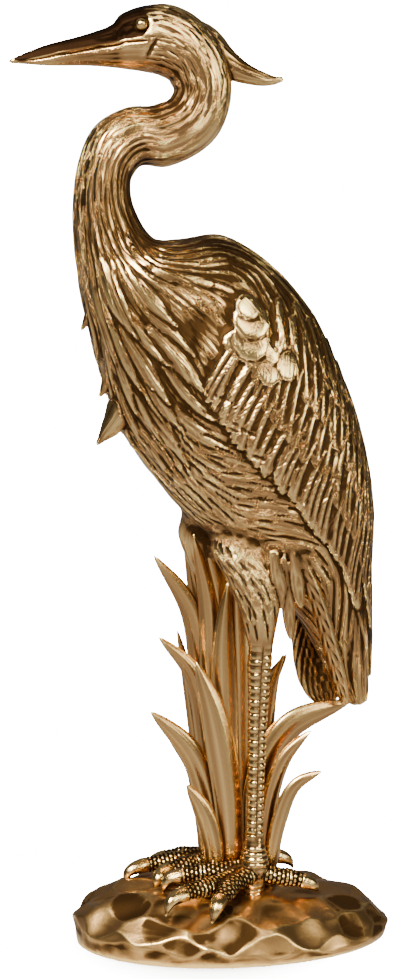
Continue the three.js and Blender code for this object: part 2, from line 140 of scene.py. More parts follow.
def paced(surface, last, pace):
    """Stations from 0 to the last, spaced along the surface's two sides by the paces in millimetres:
    length over pace is summed in fine steps, and whole numbers of that sum are looked up."""
    fine = np.linspace(0, last, 4000)
    sides = surface(fine[:, None], np.array([[90.0, 0.0, 180.0]]))
    steps = np.linalg.norm(np.diff(sides, axis=0), axis=-1).mean(1)
    run = np.append(0, np.cumsum(steps / np.interp(fine[1:], *pace)))
    return np.interp(np.arange(1, run[-1]), run, fine)


class Skin:
    """A tube's skin. Place, outward normal and height are grids over stations t and degrees round, which
    `at` holds as grids too. A finished point is its place plus its height along its normal. `strand`
    holds millimetres across and along the tuft that a point belongs to, `plain` is 1 where no hair is
    combed in, and its stain says how much brown stays on a point, with painted shade where it is high on
    the mantle and painted light where it is below 0 on the face and neck."""

    def __init__(self, surface, t, sides):
        self.t = t
        self.degrees = np.arange(sides) * 360 / sides
        self.at = at = np.meshgrid(self.t, self.degrees, indexing="ij")
        self.place = surface(*at)
        small = 1e-3
        self.along = (surface(at[0] + small, at[1]) - surface(at[0] - small, at[1])) / (2 * small)
        self.across = (surface(at[0], at[1] + small) - surface(at[0], at[1] - small)) / (2 * small)
        normal = np.cross(self.along, self.across)
        normal /= np.linalg.norm(normal, axis=-1, keepdims=True) + 1e-12
        outwards = self.place - self.place.mean(1, keepdims=True)
        self.normal = normal * np.sign((normal * outwards).sum())
        self.run = np.zeros(self.place.shape[:2])
        self.run[1:] = np.cumsum(np.linalg.norm(np.diff(self.place, axis=0), axis=-1), axis=0)
        self.height = np.zeros(self.place.shape[:2])
        self.stain_and_painted_light = np.zeros(self.place.shape[:2])
        self.plain = np.zeros(self.place.shape[:2])
        self.strand = np.stack([self.height + 0.1 * at[1], self.run, self.height], -1)
        self.closest = np.full(self.place.shape[:2], OUTSIDE)
        self.count = 0

    def local(self, t, degrees, slant, length, half, curl):
        """Grid indices round a place, with millimetres along a shape there and across it. The shape's
        way is at the slant in degrees from the tube's, towards growing degrees, and turns by the curl
        from its root to its tip, so its line lies off by half its curvature times the way squared."""
        step = self.degrees[1]
        i = min(np.searchsorted(self.t, t), len(self.t) - 1)
        j = int(round(degrees / step))
        forward = self.along[i, j % len(self.degrees)]
        sideways = self.across[i, j % len(self.degrees)]
        forward = forward / np.linalg.norm(forward)
        skew = sideways @ forward
        per_degree = np.linalg.norm(sideways - skew * forward)
        column = self.run[:, j % len(self.degrees)]
        middle = np.interp(t, self.t, column)
        reach = 0.5 * length + half
        rows = np.flatnonzero(np.abs(column - middle) < reach)
        wide = min(int(np.ceil(reach / (per_degree * step))), len(self.degrees) // 2 - 1)
        columns = j + np.arange(-wide, wide + 1)
        turned = (columns * step - degrees)[None, :]
        a = column[rows][:, None] - middle + skew * turned
        b = per_degree * turned + 0 * a
        turn = np.radians(slant)
        way = a * np.cos(turn) + b * np.sin(turn)
        off = b * np.cos(turn) - a * np.sin(turn) - 0.5 * np.radians(curl) / length * way**2
        return np.ix_(rows, columns % len(self.degrees)), way, off

    def lay(self, t, degrees, slant, length, half, relief, curl=0.0, barbs=0.0, plain=1.0):
        """Lays a shape over the skin. Its relief is a function of u, 0 at its root and 1 at its tip, and
        v, -1 to 1 across it. Where shapes overlap the higher one stays. Its fine lines run along it, or
        slant away from its midrib by the barbs' tangent. No hair is combed in where it is plain."""
        where, way, off = self.local(t, degrees, slant, length, half, curl)
        raised = relief(0.5 + way / length, off / half)
        taken = raised > self.height[where]
        self.height[where] = np.where(taken, raised, self.height[where])
        self.plain[where] = np.where(taken, plain, self.plain[where])
        self.thread(where, taken, way, off, barbs)

    def thread(self, where, taken, way, off, barbs=0.0):
        """Gives the taken points their millimetres across and along a tuft, set off by its number. Across
        lines with barbs it is the way less the barbs' tangent times the distance from the midrib, over
        the square root of 1 plus that tangent squared."""
        self.count += 1
        steep = np.hypot(1, barbs)
        lines = np.where(barbs > 0, (way - barbs * np.abs(off)) / steep, off)
        other = np.where(barbs > 0, (barbs * way + np.abs(off)) / steep, way)
        strand = np.stack([lines + TUFT_SHIFT * self.count, other, 0 * way + self.count % TUFT_ROUND], -1)
        self.strand[where] = np.where(taken[..., None], strand, self.strand[where])

    def tuft(self, t, degrees, slant, length, half, curl=0.0):
        """Lets the points that lie deeper in this long oval than in any other belong to it. How deep is
        1 less the squares of the ways along and across, as shares of the half length and width."""
        where, way, off = self.local(t, degrees, slant, length, half, curl)
        inside = 1 - (2 * way / length) ** 2 - (off / half) ** 2
        taken = inside > self.closest[where]
        self.closest[where] = np.where(taken, inside, self.closest[where])
        self.thread(where, taken, way, off)

    def cut(self, t, degrees, slant, length, half, depth):
        """Cuts a stroke: depth times the inside of a long oval to the power of 0.6. The inside is 1 less
        the squares of the ways along and across, as shares of the half length and the half width."""
        where, way, off = self.local(t, degrees, slant, length, half, 0)
        inside = 1 - (2 * way / length) ** 2 - (off / half) ** 2
        self.height[where] -= depth * np.clip(inside, 0, 1) ** 0.6

    def sink(self, side, hollow):
        """Presses a soft hollow in one side, or raises a mound where the depth is negative: depth times
        the exponential of minus the squares of the ways along and across, as shares of its half sizes."""
        t, degrees, slant, length, half, depth = hollow
        where, way, off = self.local(t, side * degrees, side * slant, 2.5 * length, 2.5 * half, 0)
        self.height[where] -= depth * np.exp(-((2 * way / length) ** 2) - (off / half) ** 2)

    def finished(self):
        """The finished points."""
        return self.place + self.normal * self.height[..., None]


trunk = Skin(trunk_surface, paced(trunk_surface, TRUNK_LAST, TRUNK_PACE), TRUNK_SIDES)


# Plumage. It is carved in the skin of the trunk and cast with it: fine hair-like ridges that sweep
# round the neck and body, with short knife strokes in the smoother flank, belly and cheek.

# How it lies on the left side: station, degrees from the back, and slant in degrees from the trunk's
# way towards the belly.
LIE = np.array([
    [13, 60, -5], [13, 150, 0], [14, 57, 0], [15.6, 70, 28], [15.4, 162, 7],
    [16, 120, 12], [17, 125, -4], [17.5, 120, -15], [16.1, 27, -40], [16.7, 70, -25],
    [16.8, 3, -15], [17.2, 52, -50], [17.6, 38, -18], [17.6, 3, 0], [18.1, 42, 25],
    [18.8, 50, 18], [17.6, 167, 20], [18.3, 138, 2], [19.2, 138, -8], [20.1, 139, 6],
    [21.1, 141, 0], [19.3, 116, -18], [19.7, 111, -40], [20.4, 117, -46], [20.7, 106, -54],
    [20.6, 125, -22], [21.2, 110, -50], [21.6, 112, -54], [21.6, 147, -32], [22.1, 131, -45],
    [22.4, 159, -20], [18.1, 110, -20], [18.4, 107, 15], [22.3, 64, 30], [23.1, 45, 10],
    [19.7, 46, 18], [21.7, 38, 5], [20, 4, 0], [24, 4, 0], [24.5, 100, 20], [26, 60, 5],
    [6, 60, 8], [8, 60, 0], [10.5, 60, 0], [10.5, 140, 0],
])
# How deep the plumage is at the same kind of places: height of its ridges in millimetres, how strong its
# fine hair lines are, and how much brown stays on it. The high values of that last on the mantle are
# painted shade, and its values below 0 on the face and neck are painted light.
DEPTH = np.array([
    [1, 90, 0.0, 0.06, -0.05], [4.5, 90, 0.0, 0.06, -0.05], [5.6, 90, 0.03, 0.08, -0.25],
    [5.6, 20, 0.05, 0.1, 0.25], [2.5, 15, 0.0, 0.06, 0.35], [4.2, 64, 0.12, 0.6, 0.0],
    [6.6, 60, 0.07, 0.12, -0.3], [7.5, 60, 0.12, 0.22, -0.35], [8.5, 60, 0.2, 0.3, -0.4],
    [8.5, 150, 0.2, 0.4, 0.25], [7.5, 170, 0.1, 0.3, 0.3], [10.5, 90, 0.22, 0.32, -0.5],
    [10.5, 10, 0.35, 0.5, 0.15], [13, 90, 0.3, 0.5, -0.5], [15, 90, 0.5, 0.75, -0.4],
    [13, 150, 0.6, 0.8, 0.1], [16.5, 60, 0.9, 1, 0.55], [17.8, 90, 0.4, 0.8, 0.2],
    [17.2, 30, 1.0, 1, 1.9], [18.5, 20, 1.0, 1, 1.9], [17, 140, 1.2, 1, 0.1], [18.6, 140, 1.2, 1, 0.12],
    [18.7, 68, 0.0, 0.15, -0.1], [19.8, 150, 0.7, 0.9, 0.0], [21, 130, 0.14, 0.45, -0.05],
    [22.3, 130, 0.1, 0.45, -0.05], [23.2, 150, 0.4, 0.7, 0.0], [24.5, 120, 0.7, 1, 0.15],
    [26, 60, 0.9, 1, 0.2], [22, 10, 0.9, 1, 0.35], [20, 92, 0.9, 1.0, 0.0], [21.5, 75, 0.9, 1.0, 0.05],
    [20.5, 50, 0.9, 1.0, 0.1],
])
# Stations and degrees that count as one step away in these tables.
TABLE_REACH = (0.8, 20.0)


def told(table, t, degrees):
    """What a table's rows tell for other places: the mean of its values, each weighted by one over the
    cube of its distance in steps, rounded off close by. The right side is read as the left."""
    turned = np.abs((degrees + 180) % 360 - 180)
    total, share = 0, 0
    for row in table:
        apart = ((row[0] - t) / TABLE_REACH[0]) ** 2 + ((row[1] - turned) / TABLE_REACH[1]) ** 2
        weight = 1 / (apart + 0.05) ** 1.5
        total = total + weight[..., None] * row[2:]
        share = share + weight
    return total / share[..., None]


def lie(t, degrees):
    """Slant at places: what the table tells, mirrored on the right side, times the hyperbolic tangents
    of the degrees from the back and from the belly over 12, so that it is straight along both."""
    t, degrees = np.asarray(t, float), np.asarray(degrees, float)
    turned = (degrees + 180) % 360 - 180
    middling = np.tanh(np.abs(turned) / 12) * np.tanh((180 - np.abs(turned)) / 12)
    return told(LIE, t, degrees)[..., 0] * np.sign(turned) * middling


def lie_turn(t, degrees, reach, most):
    """How many degrees the lie turns from the reach before a station to the reach after it, at most."""
    return np.clip(lie(t + reach, degrees) - lie(t - reach, degrees), -most, most)


chance = np.random.default_rng(11)
WAVES = 40


def combed(skin, slant, wave, reach):
    """Hair-like noise on a skin, about -2 to 2: random waves of about the given length in space, smeared
    along the lie. Each point takes the mean of the noise on the way through it, to reach both ways."""
    waves = chance.normal(size=(WAVES, 3))
    lengths = np.linalg.norm(waves, axis=1, keepdims=True)
    waves *= 2 * np.pi / wave * chance.uniform(0.75, 1.3, (WAVES, 1)) / lengths
    phases = chance.uniform(0, 2 * np.pi, WAVES)
    noise = sum(np.cos(skin.place @ way + phase) for way, phase in zip(waves, phases))
    noise *= np.sqrt(2 / WAVES)
    forward = np.linalg.norm(skin.along, axis=-1)
    skew = (skin.across * skin.along).sum(-1) / forward
    square = np.sqrt(np.maximum((skin.across**2).sum(-1) - skew**2, 1e-4))
    turn = np.radians(slant)
    per_degree = np.sin(turn) / square
    down = (np.cos(turn) - per_degree * skew) / forward / np.gradient(skin.t)[:, None]
    round_ = per_degree / skin.degrees[1]
    rows, sides = noise.shape
    total, share = noise.copy(), 1.0
    for way in (1, -1):
        r, c = np.meshgrid(np.arange(rows, dtype=float), np.arange(sides, dtype=float), indexing="ij")
        for k in range(1, reach + 1):
            i, j = np.rint(r).astype(int), np.rint(c).astype(int) % sides
            r = np.clip(r + way * down[i, j], 0, rows - 1.001)
            c = c + way * round_[i, j]
            i, j = np.floor(r).astype(int), np.floor(c).astype(int)
            f, g = r - i, c - j
            j, j2 = j % sides, (j + 1) % sides
            weight = 0.5 + 0.5 * np.cos(np.pi * k / (reach + 1))
            total += weight * ((1 - f) * ((1 - g) * noise[i, j] + g * noise[i, j2])
                               + f * ((1 - g) * noise[i + 1, j] + g * noise[i + 1, j2]))
            share += weight
    total /= share
    return total / total.std()


def ridges(noise):
    """Rounded ridges with narrow grooves between them: the grooves lie where the noise is 0, and where it
    is positive the ridges stand a little higher. The ridge is the noise's size over itself plus 0.5."""
    size = np.sqrt(noise**2 + 0.03)
    return size / (size + 0.5) + 0.3 * np.tanh(2 * noise)


def seeds(skin, patch, length_share, half_share):
    """Seed places in a patch and their mirror images: rows a share of a length apart, each with places
    a share of a width apart, all a little out of line."""
    first, last, low, high, length, half = patch[:6]
    i, j = np.searchsorted(skin.t, [first, last])
    span = skin.run[min(j, len(skin.t) - 1), 0] - skin.run[i, 0]
    for t in np.linspace(first, last, max(int(span / (length_share * length)), 3)):
        i = min(np.searchsorted(skin.t, t), len(skin.t) - 1)
        per_degree = np.linalg.norm(skin.across[i], axis=-1).mean()
        count = max(int((high - low) * per_degree / (half_share * half)), 2)
        for side in (1, -1):
            for k in range(count):
                degrees = low + (high - low) * (k + chance.uniform()) / count
                moved = t + (last - first) / 60 * chance.normal()
                yield moved, side * degrees, length * chance.uniform(0.7, 1.2)


# Tufts: from and to station, from and to degrees on each side, then a tuft's length and half width.
TUFTS = [4.2, 26.8, 0, 180, 44, 3.0]
# Strokes are cut in the smooth flank and belly and in the cheek: the same, and their depth last.
STROKES = [
    [19.4, 23.4, 96, 165, 11, 0.75, 1.0],
    [5.4, 8.6, 25, 130, 8, 0.5, 0.3],
]


# Millimetres between ridges, coarse and fine, and the fine ones' share of the height.
RIDGE_WAVES = (6.0, 2.9)
FINE_SHARE = 0.2


def comb(skin, slant, ridge, hair, reach=28):
    """Combs a skin: ridges of the given height along the lie, with finer ones over them, whose height
    is a share of that height's square root."""
    coarse = ridges(combed(skin, slant, RIDGE_WAVES[0], reach))
    fine = combed(skin, slant, RIDGE_WAVES[1], reach)
    skin.height += (1 - skin.plain) * (ridge * coarse + FINE_SHARE * ridge**0.5 * fine)
    skin.hair = hair


def stroke(skin, patch, slant):
    """Cuts a patch of short strokes along the lie of the plumage."""
    half, depth = patch[5:]
    for t, degrees, length in seeds(skin, patch, 0.8, 6.0):
        turned = slant(t, degrees) + 6 * chance.normal()
        wide = half * chance.uniform(0.7, 1.3)
        skin.cut(t, degrees, turned, length, wide, depth * chance.uniform(0.5, 1.2))


for t, degrees, length in seeds(trunk, TUFTS, 0.45, 1.5):
    trunk.tuft(t, degrees, lie(t, degrees), length, TUFTS[5], lie_turn(t, degrees, 0.4, 30))


# Breast. Rows of long pointed locks of feathers hang down from the neck over the breast. They are cast
# in low relief, each row over the next.

# A row is how many locks a side has, the first and last one's station and degrees, and their length,
# half width and lift.
BREAST_ROWS = [
    [4, 16.6, 16.9, 104, 168, 46, 4.6, 1.9],
    [4, 18.1, 18.0, 108, 166, 44, 4.8, 2.0],
    [4, 19.6, 19.5, 120, 172, 36, 4.4, 1.4],
    [5, 17.4, 17.4, 104, 172, 40, 3.6, 1.7],
    [5, 18.8, 18.8, 114, 172, 34, 3.6, 1.4],
]


def lens(u, v):
    """How far inside a pointed oval a place is: 1 on its midrib, 0 on its edge, less outside. The half
    width is the sine of pi times u to the power of 0.8, and that sine to the power of 0.8."""
    width = np.sin(np.pi * np.clip(u, 0, 1) ** 0.8) ** 0.8
    return 1 - np.abs(v) / np.maximum(width, 1e-3)


def lock(lift):
    """A lock of long feathers: lift times the inside of a lens to the power of 0.6. It rises from nothing
    at its root, so only its sides and its tip stand out."""
    def relief(u, v):
        inside = lens(u, v)
        body = lift * np.clip(1.3 * u, 0, 1) * np.clip(inside, 0, 1) ** 0.6
        return np.where(inside > 0, body, OUTSIDE)
    return relief


for count, first, last, low, high, length, half, lift in BREAST_ROWS:
    for k in range(count):
        share = k / (count - 1)
        t = first + (last - first) * share + 0.12 * chance.normal()
        degrees = low + (high - low) * share
        for side in (1, -1):
            trunk.lay(t, side * degrees, side * lie(t, degrees), length, half, lock(lift),
                      side * lie_turn(t, degrees, 0.6, 35), plain=0.0)


# Wings. The folded wings lie along the flanks, cast with the body. Each is a plate that stands out from
# the flank, covered by rows of flight feathers, with round feathers on the shoulder.

# The plate's lower edge, as degrees at stations, and the plate's height.
WING_EDGE = ([18.0, 18.9, 19.8, 20.6, 21.6, 22.5, 23.3, 24.1, 25.2],
             [100, 106, 107, 103, 97, 94, 88, 80, 60])
WING_PLATE = 1.1
# Where the wing begins: station, and how many stations it takes to reach its height.
WING_START = (18.9, 0.8)
# A row of feathers is its degrees above the edge, its first and last station, how many feathers it
# has, and their length, half width and lift.
WING_ROWS = [
    [0, 18.9, 24.3, 25, 33, 3.7, 0.9],
    [22, 19.2, 24.9, 22, 35, 3.8, 1.1],
    [42, 19.5, 25.4, 19, 36, 3.9, 1.2],
    [60, 19.8, 25.8, 16, 36, 3.8, 1.2],
    [76, 20.2, 26.2, 13, 34, 3.6, 1.1],
]
# The feathers' slant, size and extra lift at stations, their curl in degrees and their barbs' tangent.
QUILL_SLANT = ([18.5, 19.0, 19.8, 20.6, 21.5, 22.5, 24.0, 26.0], [66, 66, 58, 54, 55, 42, 24, 8])
QUILL_GROWTH = ([18.8, 20.3], [0.4, 1.0])
QUILL_RISE = ([24, 26], [1.0, 1.7])
QUILL_CURL = -22
QUILL_BARBS = 2.0
# A mound under the shoulder and a hollow before it: station, degrees, slant, length, half width, depth.
SHOULDER_MOUND = [18.7, 68, 0, 44, 17, -1.3]
SHOULDER_HOLLOW = [17.95, 89, 0, 20, 9, 1.3]
# Round feathers on the shoulder: station, degrees, slant, length, half width and height.
SHOULDER = [
    [18.20, 62, 0, 12, 5.6, 2.9],
    [18.40, 65, 0, 18, 8.6, 2.5],
    [18.64, 72, 20, 19, 8.0, 2.2],
    [18.76, 74, -32, 28, 7.4, 1.8],
    [19.26, 72, 40, 15, 5.6, 2.0],
    [19.36, 62, 40, 15, 6.0, 2.1],
]


def risen(value, start, width):
    """0 up to the start and 1 from the start plus the width on, straight between. Where the width is
    negative it falls instead, from 1 to 0 at the start."""
    return np.clip((value - start) / width, 0, 1)


def quill(half, base, lift, side):
    """A vaulted flight feather with straight sides and a round tip. It rises from root to tip and
    towards its lower side, so that it stands over the next one, by a parabola across it, and a shaft
    runs down its middle."""
    def relief(u, v):
        width = np.clip(12 * u, 0, 1) * (1 - risen(u, 0.74, 0.26) ** 2) ** 0.5
        body = base + lift * (0.35 + 0.65 * np.clip(u, 0, 1)) * (0.75 + 0.3 * v * side)
        vault = 0.09 * half * (1 - (v / np.maximum(width, 0.1)) ** 2)
        shaft = 0.75 * np.exp(-((v * half / 0.8) ** 2)) * np.clip(3 - 3 * u, 0, 1)
        return np.where((np.abs(v) < width) & (u < 1), body + vault + shaft, OUTSIDE)
    return relief


def scale(height):
    """A round feather: its height, 1.1 times the share from root to tip, and half its inside, which is
    1 in the middle and 0 on its edge, to the power of 0.3."""
    def relief(u, v):
        inside = 1 - (2 * u - 1) ** 2 - v**2
        return np.where(inside > 0, height + 1.1 * u + 0.5 * np.clip(inside, 0, 1) ** 0.3, OUTSIDE)
    return relief


turned = (trunk.degrees + 180) % 360 - 180
edge = np.interp(trunk.t, *WING_EDGE)[:, None]
inside_wing = np.clip((edge - np.abs(turned)[None, :]) / 4, 0, 1)
along_wing = risen(trunk.t, *WING_START)[:, None]
wing = inside_wing * along_wing * np.clip(np.abs(turned) / 12 - 0.3, 0, 1)[None, :]
trunk.height = trunk.height * (1 - wing) + WING_PLATE * wing
trunk.plain = np.maximum(trunk.plain, wing)

for side in (1, -1):
    for above, first, last, count, length, half, lift in WING_ROWS:
        for k in range(count):
            t = first + (last - first) * k / (count - 1) + 0.04 * chance.normal()
            degrees = np.interp(t, *WING_EDGE) - above + 1.0 * chance.normal()
            slant = np.interp(t, *QUILL_SLANT) * (1 - above / 95) + 2 * chance.normal()
            young = np.interp(t, *QUILL_GROWTH)
            raised = lift * young * np.interp(t, *QUILL_RISE) * chance.uniform(0.85, 1.15)
            i = int(np.interp(t, trunk.t, np.arange(len(trunk.t))))
            j = int(side * degrees / trunk.degrees[1])
            back = 0.5 * length - 1
            middle = t - back * np.cos(np.radians(slant)) / np.linalg.norm(trunk.along[i, j])
            higher = degrees - back * np.sin(np.radians(slant)) / np.linalg.norm(trunk.across[i, j])
            long = length * chance.uniform(0.95, 1.05)
            shape = quill(half * young, WING_PLATE, raised, side)
            trunk.lay(middle, side * higher, side * slant, long, half * young, shape,
                      QUILL_CURL * side, QUILL_BARBS)
    trunk.sink(side, SHOULDER_MOUND)
    # The flight feathers are cut back under the round ones before these are laid.
    for t, degrees, slant, length, half, height in SHOULDER:
        where, way, off = trunk.local(t, side * degrees, side * slant, length, half, 0)
        covered = (2.2 * way / length) ** 2 + (1.1 * off / half) ** 2 < 1.2
        lower = np.minimum(trunk.height[where], height - 0.8)
        trunk.height[where] = np.where(covered, lower, trunk.height[where])
    for t, degrees, slant, length, half, height in SHOULDER:
        trunk.lay(t, side * degrees, side * slant, length, half, scale(height))
    trunk.sink(side, SHOULDER_HOLLOW)

# The outline is where the plumage's tops are, so the body is drawn in under it along the middle plane,
# by millimetres at stations: along the back and along the belly, fading over so many degrees.
BACK_DRAWN = ([17, 19, 20.5, 26, 27], [0, 1.0, 2.8, 2.8, 0], 45)
BELLY_DRAWN = ([16, 17, 18.5, 19.5, 22, 23], [0, 3.2, 2.6, 1.2, 0.8, 0], 40)
from_back = np.abs(turned)
for (stations, drawn, fade), away in ((BACK_DRAWN, from_back), (BELLY_DRAWN, 180 - from_back)):
    trunk.height -= np.exp(-((away / fade) ** 2))[None, :] * np.interp(trunk.t, stations, drawn)[:, None]

depth = told(DEPTH, *trunk.at)
comb(trunk, lie(*trunk.at), depth[..., 0], depth[..., 1])
# Brown from the table, with painted shade on the mantle and painted light on the face and neck.
trunk.stain_and_painted_light += depth[..., 2]
for patch in STROKES:
    stroke(trunk, patch, lie)


# Face. A seam parts the two halves of the bill, with a bright rim above it and a crease at the mouth's
# corner. The eye is a ball cast in a ring. Brown paint covers the bill's ridge, the lore and the crown.

# The seam, as degrees at stations, with its depth and half width, and the rim's height, distance above
# the seam and half width.
MOUTH_LINE = ([0.4, 1.35, 2.45, 4.1, 4.95], [120, 95, 88, 93, 96])
MOUTH_SEAM = (0.9, 0.5)
MOUTH_RIM = (0.35, 1.0, 0.7)
# The crease: station, degrees, slant, length, half width and depth. Brown lies in it, and wider.
CREASE = [5.15, 108, 120, 8, 1.0, 1.0]
CREASE_STAIN = (1.8, 4.5, 1.5)
# The hollow of the nostril, in the same way.
NOSTRIL = [3.75, 54, 0, 10, 2.6, 0.9]
EYE_PLACE = np.array([-44.7, 10.6, 440.2])
EYE_RADIUS = 2.85
# No hair is left within this distance of the eye's middle, and less of it in this width beyond.
EYE_SMOOTH = (3.6, 1.4)
# The ring round the eye: the radii of its groove and of its stain, and how deep and strong they are.
EYE_RING = (3.7, 5.0, 1.3, 2.4)
# Lower edge of the dark stripe from the bill's ridge over the lore to the crown: station and degrees.
CROWN_LINE = ([0.4, 1.35, 2.45, 3.6, 4.2, 4.8, 5.05, 5.75, 6.75, 7.45],
              [104, 82, 79, 84, 88, 86, 44, 38, 42, 50])
# How soft that edge is in millimetres. The stripe ends at a station and fades over those before it.
CROWN_EDGE = 1.2
CROWN_END = (7.6, -1.5)
CROWN_STAIN = ([4.4, 5.2], [3.0, 1.65])

line = np.interp(trunk.t, *MOUTH_LINE)[:, None]
around = np.linalg.norm(trunk.across, axis=-1)
below = (np.abs(turned)[None, :] - line) * around
along_bill = (risen(trunk.t, 5.0, -0.3) * risen(trunk.t, 0.3, 0.5))[:, None]
rim = MOUTH_RIM[0] * np.exp(-(((below + MOUTH_RIM[1]) / MOUTH_RIM[2]) ** 2))
seam = MOUTH_SEAM[0] * np.exp(-((below / MOUTH_SEAM[1]) ** 2))
trunk.height += along_bill * (rim - seam)
for side in (1, -1):
    trunk.sink(side, CREASE)
    where, way, off = trunk.local(CREASE[0], side * CREASE[1], side * CREASE[2], 14, 3, 0)
    strength, long, wide = CREASE_STAIN
    trunk.stain_and_painted_light[where] += strength * np.exp(-((way / long) ** 2) - (off / wide) ** 2)
    trunk.sink(side, NOSTRIL)
    apart = np.linalg.norm(trunk.place - EYE_PLACE * (1, -side, 1), axis=-1)
    smoothed = trunk.height * risen(apart, *EYE_SMOOTH)
    trunk.height = np.where(apart < sum(EYE_SMOOTH), smoothed, trunk.height)
    groove, stained, deep, strong = EYE_RING
    trunk.height -= deep * np.exp(-((apart / groove) ** 6))
    trunk.stain_and_painted_light += strong * np.exp(-((apart / stained) ** 6))
above = (np.interp(trunk.t, *CROWN_LINE)[:, None] - np.abs(turned)[None, :]) * around
capped = np.clip(0.5 + above / CROWN_EDGE, 0, 1) * risen(trunk.t, *CROWN_END)[:, None]
trunk.stain_and_painted_light += capped * np.interp(trunk.t, *CROWN_STAIN)[:, None]


def shell(name, places, first, last, strand=None, stain_and_painted_light=None, hair=None):
    """An object of one closed skin: rings of places joined by quads, and a fan to a pole at each end.
    Each point keeps its strand, its stain, which is brown with painted shade and painted light in places,
    its hair and the number of the skin it belongs to. Where no strand is given it is the millimetres
    round the section, from its far side, and along the skin."""
    rings, sides = places.shape[:2]
    points = np.vstack([places.reshape(-1, 3), [first, last]])
    i = np.arange(rings * sides).reshape(rings, sides)
    j = np.roll(i, -1, axis=1)
    quads = np.stack([i[:-1], j[:-1], j[1:], i[1:]], -1).reshape(-1, 4)
    poles = len(points) - 2, len(points) - 1
    start = np.stack([j[0], i[0], np.full(sides, poles[0])], -1)
    end = np.stack([i[-1], j[-1], np.full(sides, poles[1])], -1)
    corners = points[quads]
    outwards = corners.mean(1) - places.mean(1)[:-1].repeat(sides, 0)
    normals = np.cross(corners[:, 2] - corners[:, 0], corners[:, 3] - corners[:, 1])
    if (normals * outwards).sum() < 0:
        quads, start, end = quads[:, ::-1], start[:, ::-1], end[:, ::-1]
    mesh = bpy.data.meshes.new(name)
    loops = np.concatenate([quads.ravel(), start.ravel(), end.ravel()])
    sizes = np.concatenate([np.full(len(quads), 4), np.full(2 * sides, 3)])
    mesh.vertices.add(len(points))
    mesh.vertices.foreach_set("co", metres(points).astype(np.float32).ravel())
    mesh.loops.add(len(loops))
    mesh.loops.foreach_set("vertex_index", loops.astype(np.int32))
    mesh.polygons.add(len(sizes))
    mesh.polygons.foreach_set("loop_start", (np.cumsum(sizes) - sizes).astype(np.int32))
    mesh.update(calc_edges=True)
    mesh.validate()
    if strand is None:
        run = np.append(0, np.cumsum(np.linalg.norm(np.diff(places.mean(1), axis=0), axis=-1)))
        girth = np.linalg.norm(places[rings // 2] - places[rings // 2].mean(0), axis=-1).mean() * 2 * np.pi
        strand = np.zeros(places.shape)
        strand[..., 0] = girth * np.abs(np.arange(sides) / sides - 0.5)
        strand[..., 1] = run[:, None]
    values = np.zeros((len(points), 3), np.float32)
    values[:-2] = strand.reshape(-1, 3)
    mesh.attributes.new("strand", "FLOAT_VECTOR", "POINT").data.foreach_set("vector", values.ravel())
    number = len(bpy.data.meshes)
    for layer, given, usual in (("stain_and_painted_light", stain_and_painted_light, 0.0), ("hair", hair, 0.4), ("skin", None, number)):
        values = np.full(len(points), usual, np.float32)
        if given is not None:
            values[:-2] = given.ravel()
        mesh.attributes.new(layer, "FLOAT", "POINT").data.foreach_set("value", values)
    made = bpy.data.objects.new(name, mesh)
    bpy.context.collection.objects.link(made)
    return made


bill_tip = np.array([TRUNK[0, 0], 0.0, TRUNK[0, 1]])
trunk_shell = shell("trunk", trunk.finished(), bill_tip, TRUNK_END, trunk.strand, trunk.stain_and_painted_light, trunk.hair)


def ball(name, middle, radius):
    """A sphere of 14 rings: the cosine of the rise times the turn's cosine and sine, and its sine up."""
    rise = np.radians(np.linspace(-90, 90, 16)[1:-1])[:, None]
    turn = np.radians(np.arange(24) * 15)[None, :]
    flat = np.cos(rise)
    unit = np.stack([flat * np.cos(turn), flat * np.sin(turn), np.sin(rise) + 0 * turn], -1)
    pole = np.array([0, 0, radius])
    return shell(name, middle + radius * unit, middle - pole, middle + pole)


parts = [ball("eye", EYE_PLACE * (1, side, 1), EYE_RADIUS) for side in (-1, 1)]


# Crest and plumes. A pointed crest hangs from the back of the head, and the tips of three plumes stand
# out from the breast. Both are cast with the bird. Each is a round section carried along a curve.

# Places along the crest from root to tip, and its radii.
CREST = [[-20, 0, 434.5], [-3, 0, 422.8], [8, 0, 417.8], [19, 0, 415.4], [24.5, 0, 416.2]]
CREST_RADII = [10.5, 10.3, 7.6, 5.1, 3.4, 1.2]
# Plumes: places from root to tip, half depth, and half width as a share of that.
PLUMES = [
    ([[-58, -2, 342], [-64.5, -2, 324], [-66, -3, 311], [-72.5, -3, 299.5]], 7.2, 1.3),
    ([[-50, -4, 308], [-57.5, -5, 292], [-59, -5, 278], [-64.3, -5, 268.3]], 7.8, 1.3),
    ([[-42, -4, 284], [-50.5, -5, 270], [-56.5, -6, 258], [-66, -6, 245.7]], 8.4, 1.1),
]
# A plume's half depth from root to tip, as shares of its greatest.
PLUME_TAPER = np.array([1, 1, 0.92, 0.62, 0.1])


